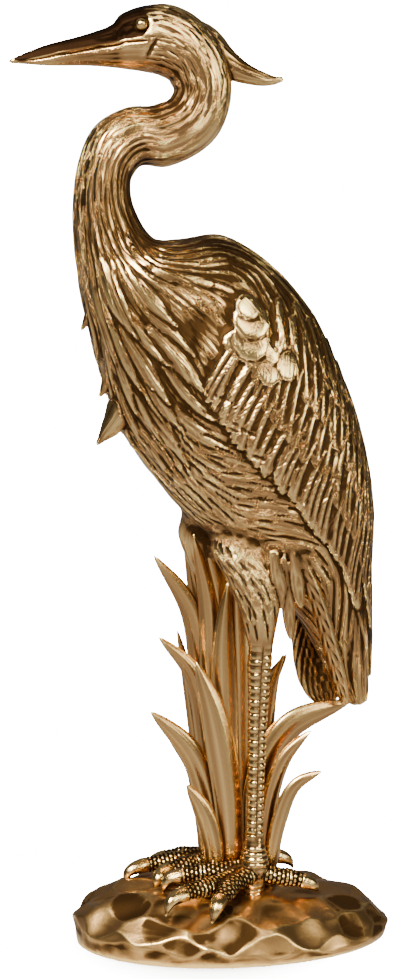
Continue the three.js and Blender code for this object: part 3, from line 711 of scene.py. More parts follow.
def curve(points, count):
    """Places evenly spaced along the centripetal Catmull-Rom curve through points, with its ends run on
    straight, and the ways of the curve there."""
    points = np.asarray(points, float)
    line = np.vstack([2 * points[0] - points[1], points, 2 * points[-1] - points[-2]])
    fine = []
    for k in range(len(points) - 1):
        p = line[k:k + 4]
        gaps = np.linalg.norm(np.diff(p, axis=0), axis=-1) ** 0.5
        s = np.linspace(0, 1, 60, endpoint=False)[:, None]
        start = (p[1] - p[0]) / gaps[0] - (p[2] - p[0]) / (gaps[0] + gaps[1]) + (p[2] - p[1]) / gaps[1]
        end = (p[2] - p[1]) / gaps[1] - (p[3] - p[1]) / (gaps[1] + gaps[2]) + (p[3] - p[2]) / gaps[2]
        start, end = start * gaps[1], end * gaps[1]
        fine.append(p[1] * (2 * s**3 - 3 * s**2 + 1) + p[2] * (3 * s**2 - 2 * s**3)
                    + start * (s**3 - 2 * s**2 + s) + end * (s**3 - s**2))
    fine = np.vstack(fine + [points[-1:]])
    run = np.append(0, np.cumsum(np.linalg.norm(np.diff(fine, axis=0), axis=-1)))
    even = np.linspace(0, run[-1], count)
    places = np.stack([np.interp(even, run, fine[:, k]) for k in range(3)], -1)
    ways = np.gradient(places, axis=0)
    return places, ways / np.linalg.norm(ways, axis=-1, keepdims=True)


def rod(name, points, radii, flat, sides, rings, relief, stain_and_painted_light=None):
    """A round or oval rod: its radius follows the numbers given from end to end, and its half width is
    that times flat. The relief is added to the radius, and the stain says how much brown stays, which on
    the far thigh is painted shade: both come from share of length and turn."""
    places, ways = curve(points, rings)
    share = np.linspace(0, 1, rings)[:, None]
    radius = spline(np.array(radii, float)[:, None], share[:, 0] * (len(radii) - 1))
    across = np.cross([0.0, 0.0, 1.0], ways)
    across /= np.linalg.norm(across, axis=-1, keepdims=True)
    up = np.cross(ways, across)
    turn = (2 * np.pi * (np.arange(sides) + 0.5) / sides)[None, :]
    radius = radius + relief(share, turn)
    skin = (places[:, None] + (radius * flat * np.cos(turn))[..., None] * across[:, None]
            + (radius * np.sin(turn))[..., None] * up[:, None])
    stained = None if stain_and_painted_light is None else stain_and_painted_light(share, turn)[1:-1]
    return shell(name, skin[1:-1], places[0], places[-1], stain_and_painted_light=stained)


def strands(count, depth):
    """Grooves that run the length of a rod and wander a little: depth times a cosine of the turn."""
    return lambda share, turn: -depth * (0.5 + 0.5 * np.cos(count * turn + 5 * share)) * (1 - share**3)


def crest_stain(share, turn):
    """Brown stays on the crest's upper side."""
    return 0.6 * np.clip(1.5 * np.sin(turn) + 0.3 + 0 * share, 0, 1)


parts.append(rod("crest", CREST, CREST_RADII, flat=0.63, sides=40, rings=60,
                 relief=strands(13, 0.4), stain_and_painted_light=crest_stain))
for k, (points, depth, flat) in enumerate(PLUMES):
    parts.append(rod(f"plume_{k}", points, depth * PLUME_TAPER, flat, sides=32, rings=50,
                     relief=strands(9, 0.7)))


# Legs. The legs are cast with the body and the rock: feathered thighs, then bare shanks with rows of
# bead-like scutes. Each is a tube from inside the belly to the foot.

# The far thigh's plumage bulges forward under the belly, in its shade: places along it and radii, and
# how dark it is painted all over, which is painted shade.
FAR_THIGH = [[-4, 8, 240], [-12, 11, 216], [-9, 13, 194], [-3, 14, 176], [2, 15, 160]]
FAR_THIGH_RADII = [14, 17, 14.5, 10, 4]
FAR_THIGH_SHADE = 0.45
parts.append(rod("far_thigh", FAR_THIGH, FAR_THIGH_RADII, flat=0.7, sides=64, rings=70,
                 relief=strands(17, 0.8), stain_and_painted_light=lambda share, turn: FAR_THIGH_SHADE + 0 * share * turn))

# A row is height, middle x, distance from the middle plane, and half thickness along the bird and
# across it.
LEG = np.array([
    [222, 12.0, 4, 15.0, 10.0],
    [212, 9.0, 6, 18.0, 12.5],
    [203, 6.5, 8, 18.0, 13.5],
    [194, 5.5, 10, 17.0, 13.4],
    [182, 8.5, 13.5, 13.8, 12.2],
    [170, 10.3, 15.7, 10.6, 9.8],
    [158, 10.6, 17, 7.8, 7.4],
    [148, 10.9, 17, 5.7, 5.7],
    [140, 10.3, 17, 5.7, 5.7],
    [128, 9.9, 17, 4.9, 4.9],
    [110, 9.3, 17, 4.3, 4.3],
    [68, 8.4, 17, 3.9, 3.9],
    [52, 8.0, 17, 4.9, 4.9],
    [42, 8.0, 17, 6.6, 6.4],
    [28, 7.5, 17, 4.6, 4.6],
])
# Millimetres that the far foot stands nearer the bill, and the steps between rings of a leg's skin.
FAR_LEG_SHIFT = -9.0
LEG_PACE = ([0, 5, 6, 14], [1.0, 1.0, 0.6, 0.6])
LEG_SIDES = 96
# Tufts and strokes on the thigh, as on the body, and the height of its ridges and strength of its hair.
THIGH_TUFTS = [0.3, 6.6, 0, 180, 16, 2.2]
THIGH_STROKES = [0.8, 6.0, 0, 180, 8, 0.7, 0.8]
THIGH_RIDGE = 0.12
THIGH_HAIR = 0.35
# A scute's height in millimetres and width in degrees, the heights between which scutes cover the
# shank, and the pitch of the rings below them.
SCUTE = (3.3, 90.0)
SHANK = (54, 152)
FOOT_RING = 2.6


def leg_surface(side, shift):
    """A leg's section at t: an oval of the row's two thicknesses round its middle. 0 degrees is the
    back of the leg and 90 its outer side."""
    def surface(t, degrees):
        z, x, y, along, across = np.moveaxis(spline(LEG, t), -1, 0)
        turn = np.radians(degrees)
        moved = shift * (LEG[0, 0] - z) / (LEG[0, 0] - LEG[-1, 0])
        return np.stack([x + moved + along * np.cos(turn), side * (y + across * np.sin(turn)),
                         z + 0 * turn], -1)
    return surface


def thigh_lie(t, degrees):
    """Slant on the thigh, where strokes turn back as they run down: minus 26 degrees times the sine of
    the turn, less and less from station 2.5 on."""
    return -26 * np.sin(np.radians(degrees)) * np.clip(1.5 - 0.2 * t, 0, 1)


for side, shift in ((-1, 0.0), (1, FAR_LEG_SHIFT)):
    surface = leg_surface(side, shift)
    leg = Skin(surface, paced(surface, len(LEG) - 1.01, LEG_PACE), LEG_SIDES)
    for t, degrees, length in seeds(leg, THIGH_TUFTS, 0.45, 1.5):
        leg.tuft(t, degrees, thigh_lie(t, degrees), length, THIGH_TUFTS[5])
    furry = risen(leg.place[..., 2], SHANK[1], 20)
    comb(leg, thigh_lie(*leg.at), THIGH_RIDGE * furry, THIGH_HAIR * furry, reach=12)
    stroke(leg, THIGH_STROKES, thigh_lie)
    z = leg.place[..., 2]
    column = np.floor(leg.degrees / SCUTE[1])[None, :]
    up = np.abs((z / SCUTE[0] + 0.5 * (column % 2)) % 1 - 0.5) * 2
    off = np.abs(leg.degrees / SCUTE[1] % 1 - 0.5)[None, :] * 2
    scute = (1 - up**4) * (1 - off**4)
    on_shank = risen(z, SHANK[0], 4) * risen(z, SHANK[1], -10)
    rings = np.abs(np.sin(np.pi * z / FOOT_RING)) * risen(z, SHANK[0], -4)
    leg.height = leg.height * (1 - on_shank) + 0.8 * (scute - 0.4) * on_shank + 0.6 * rings
    skin = leg.finished()
    top = surface(0.0, np.array([0.0, 180.0])).mean(0)
    parts.append(shell("leg", skin, top, skin[-1].mean(0), leg.strand, hair=leg.hair))


# Feet. Each foot is cast onto the rock, with three toes forward and one back, small scales on the toes
# and smooth bulging claws. A toe is a round section carried along a curve, through the places here.
TOES = [
    [[6, -17, 40], [-15.7, -15, 38.5], [-28.7, -14, 37], [-33.8, -14, 35], [-36.5, -14, 28.5]],
    [[5, -18, 38], [-14.6, -28, 36], [-31, -36, 34.5], [-36.4, -39, 32.5], [-39.3, -41, 26]],
    [[6, -19, 38], [-4.4, -28, 36], [-10.7, -36, 33], [-14.8, -42, 30.5], [-18, -46, 23]],
    [[8, -18, 38], [22, -18.5, 35.5], [30, -19.5, 34], [36, -20, 31.5], [39.5, -20, 27.5]],
    [[-2, 17, 38], [-30.6, 14, 36], [-43.4, 12, 35], [-49, 10.5, 33], [-52, 9, 27]],
    [[-2, 16, 37], [-23.6, 5, 36], [-33.3, 0, 35], [-36.8, -3.2, 33], [-38.8, -5, 27]],
    [[-2, 18, 37], [-16, 29, 34.5], [-27, 35, 32], [-33, 37, 29.5], [-36, 38, 24]],
    [[-1, 17, 37], [19, 18.5, 35.5], [27, 19.5, 34.5], [32.5, 20, 32], [35.5, 20, 27.5]],
]
# The radius along a toe, with a knuckle before the claw, and the claw's start as a share of its length.
TOE_RADII = [5.0, 4.5, 4.1, 4.1, 4.5, 3.6, 3.7, 2.6, 0.4]
CLAW_START = 0.70
SCALE_PITCH = 2.1
# Brown on the claws, and how much more of it lies on the scales.
TOE_STAIN = (1.4, 0.8)


def toe_scales(length):
    """Rows of small scales across the toe, SCALE_PITCH apart, that stop at the claw: the product of one
    wave along the toe and one round it."""
    def relief(share, turn):
        on_toe = risen(share, CLAW_START, -0.02)
        along = np.abs(np.sin(np.pi * share * length / SCALE_PITCH))
        around = np.abs(np.sin(5 * turn + 0.5 * np.pi * np.floor(share * length / SCALE_PITCH)))
        return on_toe * (0.75 * along**0.7 * (0.35 + 0.65 * around**0.6) - 0.45)
    return relief


def toe_stain(share, turn):
    """Much brown stays on the scales, and less on the claw."""
    return TOE_STAIN[0] + TOE_STAIN[1] * risen(share, CLAW_START, -0.02) + 0 * turn


for k, points in enumerate(TOES):
    length = np.linalg.norm(np.diff(points, axis=0), axis=1).sum()
    parts.append(rod(f"toe_{k}", points, TOE_RADII, flat=1.05, sides=40, rings=110,
                     relief=toe_scales(length), stain_and_painted_light=toe_stain))


# Tail and reeds. Tail lobes, tufts behind the knees and a clump of pointed reeds that props up bird and
# tail are cast with the rest. A blade has a crowned outer side, a hollow inner side and rimmed edges.

# Millimetres between barbs.
BARB_PITCH = 9.0


def blade(name, points, half, face, width, bulge, thick, sides, rings, stain_and_painted_light=0.0, barbs=0.0):
    """A crescent section carried along a curve: at v from -1 to 1 across, the middle of the wall lies
    bulge times v squared behind the curve, and the wall is thick at the middle and rimmed near 1. Barbs
    are slanting ridges on both sides of the middle, of the given height."""
    places, ways = curve(points, rings)
    share = np.linspace(0, 1, rings)
    wide = np.maximum(width(share), 0.02)
    out = np.array([face[0], face[1], 0.0])
    out = out - ways * (ways @ out)[:, None]
    out /= np.linalg.norm(out, axis=-1, keepdims=True)
    across = np.cross(ways, out)
    turn = (2 * np.pi * (np.arange(sides) + 0.5) / sides)[None, :]
    v, wall = np.cos(turn), np.sin(turn)
    crown = np.sqrt(wide)[:, None]
    rim = 0.5 * np.exp(-(((np.abs(v) - 0.86) / 0.13) ** 2))
    vein = 0.35 * np.exp(-((v / 0.1) ** 2))
    side = np.sign(wall)
    depth = (-bulge * v**2 + thick * wall * 0.7 + rim * side - vein * side) * crown
    run = share[:, None] * np.linalg.norm(points[-1] - np.array(points[0], float)) / BARB_PITCH
    depth = depth + barbs * side * np.abs(np.sin(np.pi * (run - half * np.abs(v) / 3)))
    skin = places[:, None] + (half * wide[:, None] * v)[..., None] * across[:, None]
    skin += depth[..., None] * out[:, None]
    stained = np.full((rings - 2, sides), stain_and_painted_light)
    return shell(name, skin[1:-1], places[0], places[-1], stain_and_painted_light=stained)


def leaf_width(share):
    """Share of the half width: it swells to full at 0.6 of the length, then closes to a point."""
    grow = 0.6 + 0.4 * np.sin(0.5 * np.pi * risen(share, 0, 0.6))
    return grow * (1 - risen(share, 0.6, 0.4) ** 2) ** 0.75


def lobe_width(share):
    """Share of the half width of a tail lobe, full from 0.4 of the length on and blunt at the end: past
    0.7 it is the square root of 1 less the cube of the share that is left behind."""
    return (0.7 + 0.3 * risen(share, 0, 0.4)) * (1 - risen(share, 0.7, 0.3) ** 3) ** 0.5


def tuft_width(share):
    """Share of the half width of a tuft: it widens from its root and has a round end."""
    return (0.5 + 0.5 * risen(share, 0, 0.6)) * (1 - risen(share, 0.6, 0.4) ** 2) ** 0.6


# Tufts behind the knee: places at their root, middle and tip on the left side, and half width.
KNEE_TUFTS = [
    ([[20, -25, 196], [23, -21, 176], [26, -15.5, 151]], 3.4),
    ([[15, -26, 197], [17.5, -24.5, 184], [21, -19.5, 167]], 4.2),
    ([[24, -25.5, 200], [27, -23, 185], [30.5, -18, 167]], 4.0),
]
# Tail lobes: places, half width, the way that they face in plan, stain, and height of their barbs. The
# far lobe's heavy stain is painted shade.
TAIL_LOBES = [
    ([[20, -24, 207], [36, -20, 174], [46, -15, 144], [54.5, -9, 116]], 4.2, (-0.8, -1), 0.1, 0.3),
    ([[44, 10, 205], [44, 14, 165], [45, 13, 136], [50, 9, 113]], 12, (-0.1, 1), 0.75, 0.7),
]
# Reeds: places from the rock to the tip, half width, and the way that they face in plan.
REEDS = [
    ([[-8, 4, 24], [-9, 3, 118], [-11.5, 3, 167.5], [-18.5, 2, 201]], 6, (-0.3, -1)),
    ([[-6, 9, 24], [-12, 9, 121.5], [-18.5, 9, 161.5], [-37, 8, 190.5]], 6.8, (-0.3, -1)),
    ([[-2, -4, 24], [-3.5, -5, 109.5], [-4.5, -5, 149], [-2.5, -4, 178.5]], 6.4, (0, -1)),
    ([[-9, 3, 24], [-11.5, 2, 98.5], [-18.5, 1, 131.5], [-36, 0, 152]], 6.0, (-0.3, -1)),
    ([[0, -8, 24], [-3.5, -12, 74], [-11, -13, 116.5], [-19.5, -13, 141.5]], 7.4, (0, -1)),
    ([[-6, -2, 24], [-14.5, -5, 78], [-22.5, -6, 97], [-41, -7, 117]], 6.2, (-0.3, -1)),
    ([[-9, -11, 24], [-13, -15, 55.5], [-17.5, -16, 69.5], [-25, -17, 83]], 5.2, (-0.3, -1)),
    ([[-9, 14, 24], [-10, 17, 114.5], [-14, 17, 165], [-21, 16, 203]], 5.4, (-0.3, -1)),
    ([[-11, 12, 24], [-15, 14, 95.5], [-20, 14, 130.5], [-24.5, 14, 152.5]], 3.6, (-0.3, -1)),
    ([[12, -3, 24], [14.5, -4, 80], [29, -3, 105], [60, -1, 117]], 7.8, (0.3, -1)),
    ([[15, -7, 24], [18.5, -10, 70], [25, -12, 91.5], [37, -13, 106]], 4.8, (0.5, -1)),
    ([[17, -9, 24], [22, -15, 61], [29, -17, 79], [41, -19, 87]], 4.8, (0.6, -1)),
    ([[16, 3, 24], [19, 3, 86.5], [22, 3, 121.5], [26.5, 3, 141]], 3.2, (0.4, -1)),
    ([[6, 0, 24], [6, 1, 100], [5, 2, 150], [2, 3, 198]], 7.4, (0, -1)),
    ([[9, 2, 24], [12, 3, 90], [16, 3, 130], [20.5, 3, 174]], 4.4, (0.2, -1)),
    ([[2, 2, 24], [0, 4, 110], [-4, 5, 165], [-14, 5, 205]], 6.8, (0, -1)),
    ([[0, 18, 24], [3, 25, 96], [2, 27, 140], [-4, 28, 176]], 6.4, (0.1, 1)),
    ([[8, 14, 24], [14, 22, 84], [21, 24, 116], [33, 26, 136]], 5.6, (0.4, 1)),
    ([[-9, 17, 24], [-12, 23, 64], [-16, 26, 82], [-27, 28, 96]], 5.2, (-0.4, 1)),
    ([[8, 21, 24], [12, 27, 54], [16, 29, 68], [25, 31, 79]], 4.8, (0.3, 1)),
]
for k, (points, half, face, stain_and_painted_light, barbs) in enumerate(TAIL_LOBES):
    parts.append(blade(f"lobe_{k}", points, half, face, lobe_width, bulge=0.6, thick=2.2,
                       sides=48, rings=110, stain_and_painted_light=stain_and_painted_light, barbs=barbs))
for k, (points, half) in enumerate(KNEE_TUFTS):
    for side, shift in ((1, 0), (-1, 0.3 * FAR_LEG_SHIFT)):
        placed = np.array(points, float) * (1, side, 1) + (shift, 0, 0)
        parts.append(blade(f"tuft_{k}", placed, half, (0.15, -side), tuft_width, bulge=1.0, thick=1.3,
                           sides=32, rings=60, stain_and_painted_light=0.1, barbs=0.12))
for k, (points, half, face) in enumerate(REEDS):
    parts.append(blade(f"reed_{k}", points, half, face, leaf_width, bulge=2.6, thick=1.6,
                       sides=32, rings=56))


# Rock. The base is a low round rock, cast with the bird's feet and the reeds. Its facets are shallow
# scoops, as a hammer or gouge leaves them, with wandering ridges between them.

# The rock's middle and the height of its underside.
ROCK_X = 0.3
ROCK_FOOT = 2.0
# How much the top falls from the tail's end to the bill's, per millimetre.
ROCK_TILT = -0.045
# A tier is how many facets it has, their lean in degrees, the height, half length and half depth of the
# oval they start at, their turn in degrees and a seed for their unevenness.
ROCK_TIERS = [
    [40, -15, 9, 78, 52, 9, 0],
    [12, 15, 9, 78.3, 51.5, 5, 2],
    [14, 44, 15, 74.5, 48, 24, 6],
    [12, 61, 22, 66.5, 40.5, 17, 3],
    [9, 75, 28, 51, 28, 30, 4],
    [5, 86, 30.5, 30, 17, 10, 5],
]
# Past which lean a facet belongs to the top, and to the lower side.
TOP_LEAN = 70
LOW_LEAN = 30
# How uneven the facets are: degrees round, degrees of lean and millimetres out.
UNEVEN = (11, 7, 1.2)
# Half sizes of the oval by which the rays are spread, and how many there are up and round.
ROCK_FORM = (78, 52, 22)
ROCK_GRID = (170, 480)
ROCK_HEART = np.array([ROCK_X, 0.0, 8.0])
# The side's scoops: radius and depth, how far their ridges wander, how high above the tier's oval they
# lie in the lowest tier and in the others, and how round the ridges are on the top and on the side.
SCOOP_RADIUS = 85.0
SCOOP_DEPTH = 0.8
RIDGE_BEND = 0.035
SCOOP_RISE = (6, 2)
TOP_SOFTNESS = 1.8
SIDE_SOFTNESS = 0.14
# Dents in the top: how many, their radius and depth.
DENTS = (30, 9.5, 0.7)
# How dark the lowest facets are, brown on the others on average, how far it varies, and in the dents and
# the top.
ROCK_STAIN = (0.8, 0.55, 0.45, 0.3)


def uneven(k, seed):
    """A repeatable unevenness from -1 to 1, and none for seed 0."""
    return np.sin(12.9898 * k + 78.233 * seed) * (seed > 0)


def softened(reach, softness):
    """The least of several reaches with its creases rounded: the least, less the softness times the
    logarithm of the sum of exponentials of what each is over it, as shares of the softness."""
    least = reach.min(0)
    return least - softness * np.log(np.exp(-(reach - least) / softness).sum(0))


def rock_shell():
    """From the rock's heart each ray runs to the nearest facet: a plane, and round the side also a
    sphere sunk a little past it. Rays are bent before they are measured, so that ridges wander."""
    rise = np.radians(np.linspace(-88, 89, ROCK_GRID[0]))[:, None]
    turn = np.radians(np.arange(ROCK_GRID[1]) * 360 / ROCK_GRID[1])[None, :]
    flat = np.cos(rise)
    straight = np.stack([flat * np.cos(turn), flat * np.sin(turn), np.sin(rise) + 0 * turn], -1)
    straight = straight * ROCK_FORM
    straight /= np.linalg.norm(straight, axis=-1, keepdims=True)
    x, y, z = np.moveaxis(straight, -1, 0)
    bend = np.stack([np.sin(13 * y + 9 * z + k) * np.sin(12 * x + 2 * k) for k in range(3)], -1)
    ray = straight + RIDGE_BEND * bend * np.clip(1 + 16 * straight[..., 2:], 0, 1)
    ray /= np.linalg.norm(ray, axis=-1, keepdims=True)
    side, top = [], []
    for count, lean, z, length, depth, turned, seed in ROCK_TIERS:
        for k in range(count):
            bearing = np.radians(360 / count * k + turned + UNEVEN[0] * uneven(k, seed))
            leaning = UNEVEN[1] * (0.25 if lean > TOP_LEAN else 1) * uneven(k, seed + 5 * (seed > 0))
            tilt = np.radians(lean + leaning)
            edge = np.hypot(length * np.cos(bearing), depth * np.sin(bearing))
            edge += UNEVEN[2] * uneven(k, seed + 9 * (seed > 0))
            out = np.array([np.cos(bearing), np.sin(bearing)])
            normal = np.append(np.cos(tilt) * out, np.sin(tilt))
            level = np.cos(tilt) * edge + normal[2] * z + normal[0] * ROCK_X
            plane = (level - ROCK_HEART @ normal) / np.maximum(ray @ normal, 1e-3)
            (top if lean > TOP_LEAN else side).append(plane)
            if not 0 < lean < TOP_LEAN:
                continue
            above = z + SCOOP_RISE[0 if lean < LOW_LEAN else 1]
            near = np.array([ROCK_X + length * out[0], depth * out[1], above])
            foot = near + normal * (level - near @ normal)
            sunk = SCOOP_RADIUS - SCOOP_DEPTH * (1 + 0.5 * uneven(k, 6))
            middle = foot + normal * sunk - ROCK_HEART
            along = ray @ middle
            inside = along**2 - (middle @ middle - SCOOP_RADIUS**2)
            met = (inside > 0) & (along > 0)
            side.append(np.where(met, along - np.sqrt(np.clip(inside, 0, None)), 500))
    side.append((ROCK_FOOT - ROCK_HEART[2]) / np.minimum(ray[..., 2], -1e-3))
    reach = np.array(side + [softened(np.array(top), TOP_SOFTNESS)])
    nearest = np.where(ray[..., 2] < -0.3, reach.min(0), softened(reach, SIDE_SOFTNESS))
    skin = ROCK_HEART + straight * nearest[..., None]
    count, wide, deep = DENTS
    dented = 0 * nearest
    for x, y in np.stack([chance.uniform(-66, 66, count), chance.uniform(-42, 42, count)], -1):
        across = wide * chance.uniform(0.6, 1.3)
        apart = np.hypot((skin[..., 0] - x) / 1.5, skin[..., 1] - y)
        dented = np.maximum(dented, np.exp(-((apart / across) ** 4)) * chance.uniform(0.5, 1.2))
    dented *= risen(skin[..., 2], 16, 6)
    skin[..., 2] = np.maximum(skin[..., 2] - deep * dented, ROCK_FOOT)
    # Each facet of the side holds its own share of brown, the lowest ones are made darker than most, and
    # the top holds some all over.
    facet = reach.argmin(0)
    lowest, usual, varied, pooled = ROCK_STAIN
    held = np.where(facet < ROCK_TIERS[0][0], lowest, usual + varied * np.sin(7.3 * facet))
    stain_and_painted_light = pooled * (dented + 0.4 * risen(skin[..., 2], 24, 6))
    stain_and_painted_light += held * (facet < len(side) - 1)
    skin[..., 2] += ROCK_TILT * skin[..., 0] * risen(skin[..., 2], ROCK_FOOT, 12)
    return shell("rock", skin, (ROCK_X, 0, ROCK_FOOT), skin[-1].mean(0), stain_and_painted_light=stain_and_painted_light)


parts.append(rock_shell())


# Casting. The carved skins become three closed skins, bird, reeds and rock, though these are one polyresin
# casting.
# It is painted brown and then gold: brown stays in its hollows, and its ridges are rubbed bright.
# Darkening in its broad hollows is painted shade.

# How many triangles each skin keeps when it is thinned.
BIRD_FACES = 196000
REED_FACES = 90000
ROCK_FACES = 60000


class Finish:
    """One material's nodes. Every node is made by the same method: its type, its settings, which are
    set first, the values or links of its sockets, and which of its outputs is wanted."""

    def __init__(self, owner):
        self.owner = owner
        owner.use_nodes = True
        self.tree = owner.node_tree
        self.tree.nodes.clear()

    def node(self, kind, settings, inputs, output=0):
        made = self.tree.nodes.new(kind)
        for name, value in settings.items():
            setattr(made, name, value)
        for name, value in inputs.items():
            if isinstance(value, Wire):
                self.tree.links.new(value.socket, made.inputs[name])
            else:
                made.inputs[name].default_value = value
        return Wire(self, made.outputs[output]) if made.outputs else made

    def ramp(self, value, low, high):
        """0 below low and 1 above high, with a smooth rise between."""
        return self.node("ShaderNodeMapRange", {"interpolation_type": "SMOOTHSTEP"},
                         {"Value": value, "From Min": low, "From Max": high})

    def noise(self, place, scale, detail, roughness=0.55):
        return self.node("ShaderNodeTexNoise", {},
                         {"Vector": place, "Scale": scale, "Detail": detail, "Roughness": roughness})

    def blend(self, share, first, second):
        """First colour where the share is 0, second where it is 1."""
        return self.node("ShaderNodeMix", {"data_type": "RGBA"}, {0: share, 6: first, 7: second}, 2)


class Wire:
    """A node's output that takes part in Python sums. Each sum adds a Math node."""

    def __init__(self, finish, socket):
        self.finish = finish
        self.socket = socket

    def sum(self, operation, first, second):
        return self.finish.node("ShaderNodeMath", {"operation": operation}, {0: first, 1: second})

    def __add__(self, other):
        return self.sum("ADD", self, other)

    def __radd__(self, other):
        return self.sum("ADD", other, self)

    def __sub__(self, other):
        return self.sum("SUBTRACT", self, other)

    def __rsub__(self, other):
        return self.sum("SUBTRACT", other, self)

    def __mul__(self, other):
        return self.sum("MULTIPLY", self, other)

    def __rmul__(self, other):
        return self.sum("MULTIPLY", other, self)


def neighbours(mesh):
    """A function that gives the mean of each point's neighbours, for one number or three a point."""
    count = len(mesh.vertices)
    edges = np.empty(len(mesh.edges) * 2, np.int32)
    mesh.edges.foreach_get("vertices", edges)
    a, b = edges.reshape(-1, 2).T
    near = np.bincount(a, minlength=count) + np.bincount(b, minlength=count)

    def mean(values):
        total = [np.bincount(a, column[b], count) + np.bincount(b, column[a], count)
                 for column in values.T]
        return np.stack(total, -1) / near[:, None]
    return mean


def read(data, name, width):
    """One property of many mesh elements as rows of numbers."""
    values = np.empty(len(data) * width, np.float32)
    data.foreach_get(name, values)
    return values.reshape(-1, width)


# Rounds of easing at any joint and, between two heights in millimetres, at the thighs.
JOINT_ROUNDS = 9
THIGH_ROUNDS = 60
THIGH_JOINT = (188, 225)


def ease(mesh):
    """Rounds the inner corners where two skins meet: points near a change of skin move 0.6 of the way to
    the mean of their neighbours in each round, and less with each step away from it."""
    mean = neighbours(mesh)
    skin = read(mesh.attributes["skin"].data, "value", 1)
    joint = (np.abs(mean(skin) - skin) > 1e-4).astype(float)
    places = read(mesh.vertices, "co", 3).astype(float)
    thigh = (places[:, 2:] > THIGH_JOINT[0] / 1000) & (places[:, 2:] < THIGH_JOINT[1] / 1000)
    for rounds, there in ((JOINT_ROUNDS, 1.0), (THIGH_ROUNDS, thigh)):
        weight = joint * there
        for _ in range(rounds // 3):
            weight = np.clip(np.maximum(weight, 1.05 * mean(weight)), 0, 1)
        for _ in range(rounds):
            places += 0.6 * weight * (mean(places) - places)
    mesh.vertices.foreach_set("co", places.astype(np.float32).ravel())


def evaluated(piece):
    """A new mesh of a piece with its modifiers applied."""
    return bpy.data.meshes.new_from_object(piece.evaluated_get(bpy.context.evaluated_depsgraph_get()))


def unite(piece, others):
    """Joins closed skins into one with Boolean unions."""
    for other in others:
        union = piece.modifiers.new("weld", "BOOLEAN")
        union.operation = "UNION"
        union.solver = "MANIFOLD"
        union.object = other
    piece.data = evaluated(piece)
    piece.modifiers.clear()
    for other in others:
        bpy.data.objects.remove(other)
    return piece


def thin(piece, faces):
    """Removes the points that matter least until so many triangles are left."""
    count = sum(len(p.vertices) - 2 for p in piece.data.polygons)
    modifier = piece.modifiers.new("thin", "DECIMATE")
    modifier.ratio = min(1, faces / count)
    piece.data = evaluated(piece)
    piece.modifiers.clear()
    piece.data.materials.clear()


def hollows(mesh, rounds):
    """Millimetres that each point lies below its smoothed surroundings, along its normal. They are
    smoothed by moving every point half way to the mean of its neighbours, round after round."""
    mean = neighbours(mesh)
    places = read(mesh.vertices, "co", 3) * 1000.0
    smooth = places
    for _ in range(rounds):
        smooth = 0.5 * (smooth + mean(smooth))
    return ((smooth - places) * read(mesh.vertices, "normal", 3)).sum(-1)


def finish_mesh(piece, edge_angle):
    """Smooth shading with sharp edges past the angle, and the hollows at two sizes as attributes: the
    small ones for brown patina, the broad ones for painted shade.
    """
    mesh = piece.data
    mesh.shade_smooth()
    mesh.set_sharp_from_angle(angle=np.radians(edge_angle))
    for name, rounds in (("fine", 6), ("broad_shade", 60)):
        layer = mesh.attributes.new(name, "FLOAT", "POINT")
        layer.data.foreach_set("value", hollows(mesh, rounds).astype(np.float32))


# Gold paint, gold where it is rubbed, brown paint in the hollows, and brown where it is laid thick. Brown
# and umber also serve as painted shade, and the gold as painted light where the stain is below 0.
GOLD = (0.53, 0.29, 0.12, 1)
PALE_GOLD = (0.93, 0.625, 0.26, 1)
BROWN = (0.055, 0.025, 0.009, 1)
UMBER = (0.014, 0.006, 0.003, 1)
# Fine lines a millimetre across a strand and along it, and how far one tuft's lie from the next one's.
STRAND_SCALE = (1.0, 0.035, 0.37)
# What a millimetre of small hollow adds to the brown, what a millimetre of broad hollow adds as painted
# shade, and what a small ridge adds to the rubbing.
SMALL_HOLLOW = 7.0
BROAD_HOLLOW_SHADE = 0.2
SMALL_RIDGE = 3.5
# Stains between which brown turns to umber. The mantle's painted shade reaches into it.
THICK_STAIN = (1.2, 2.6)


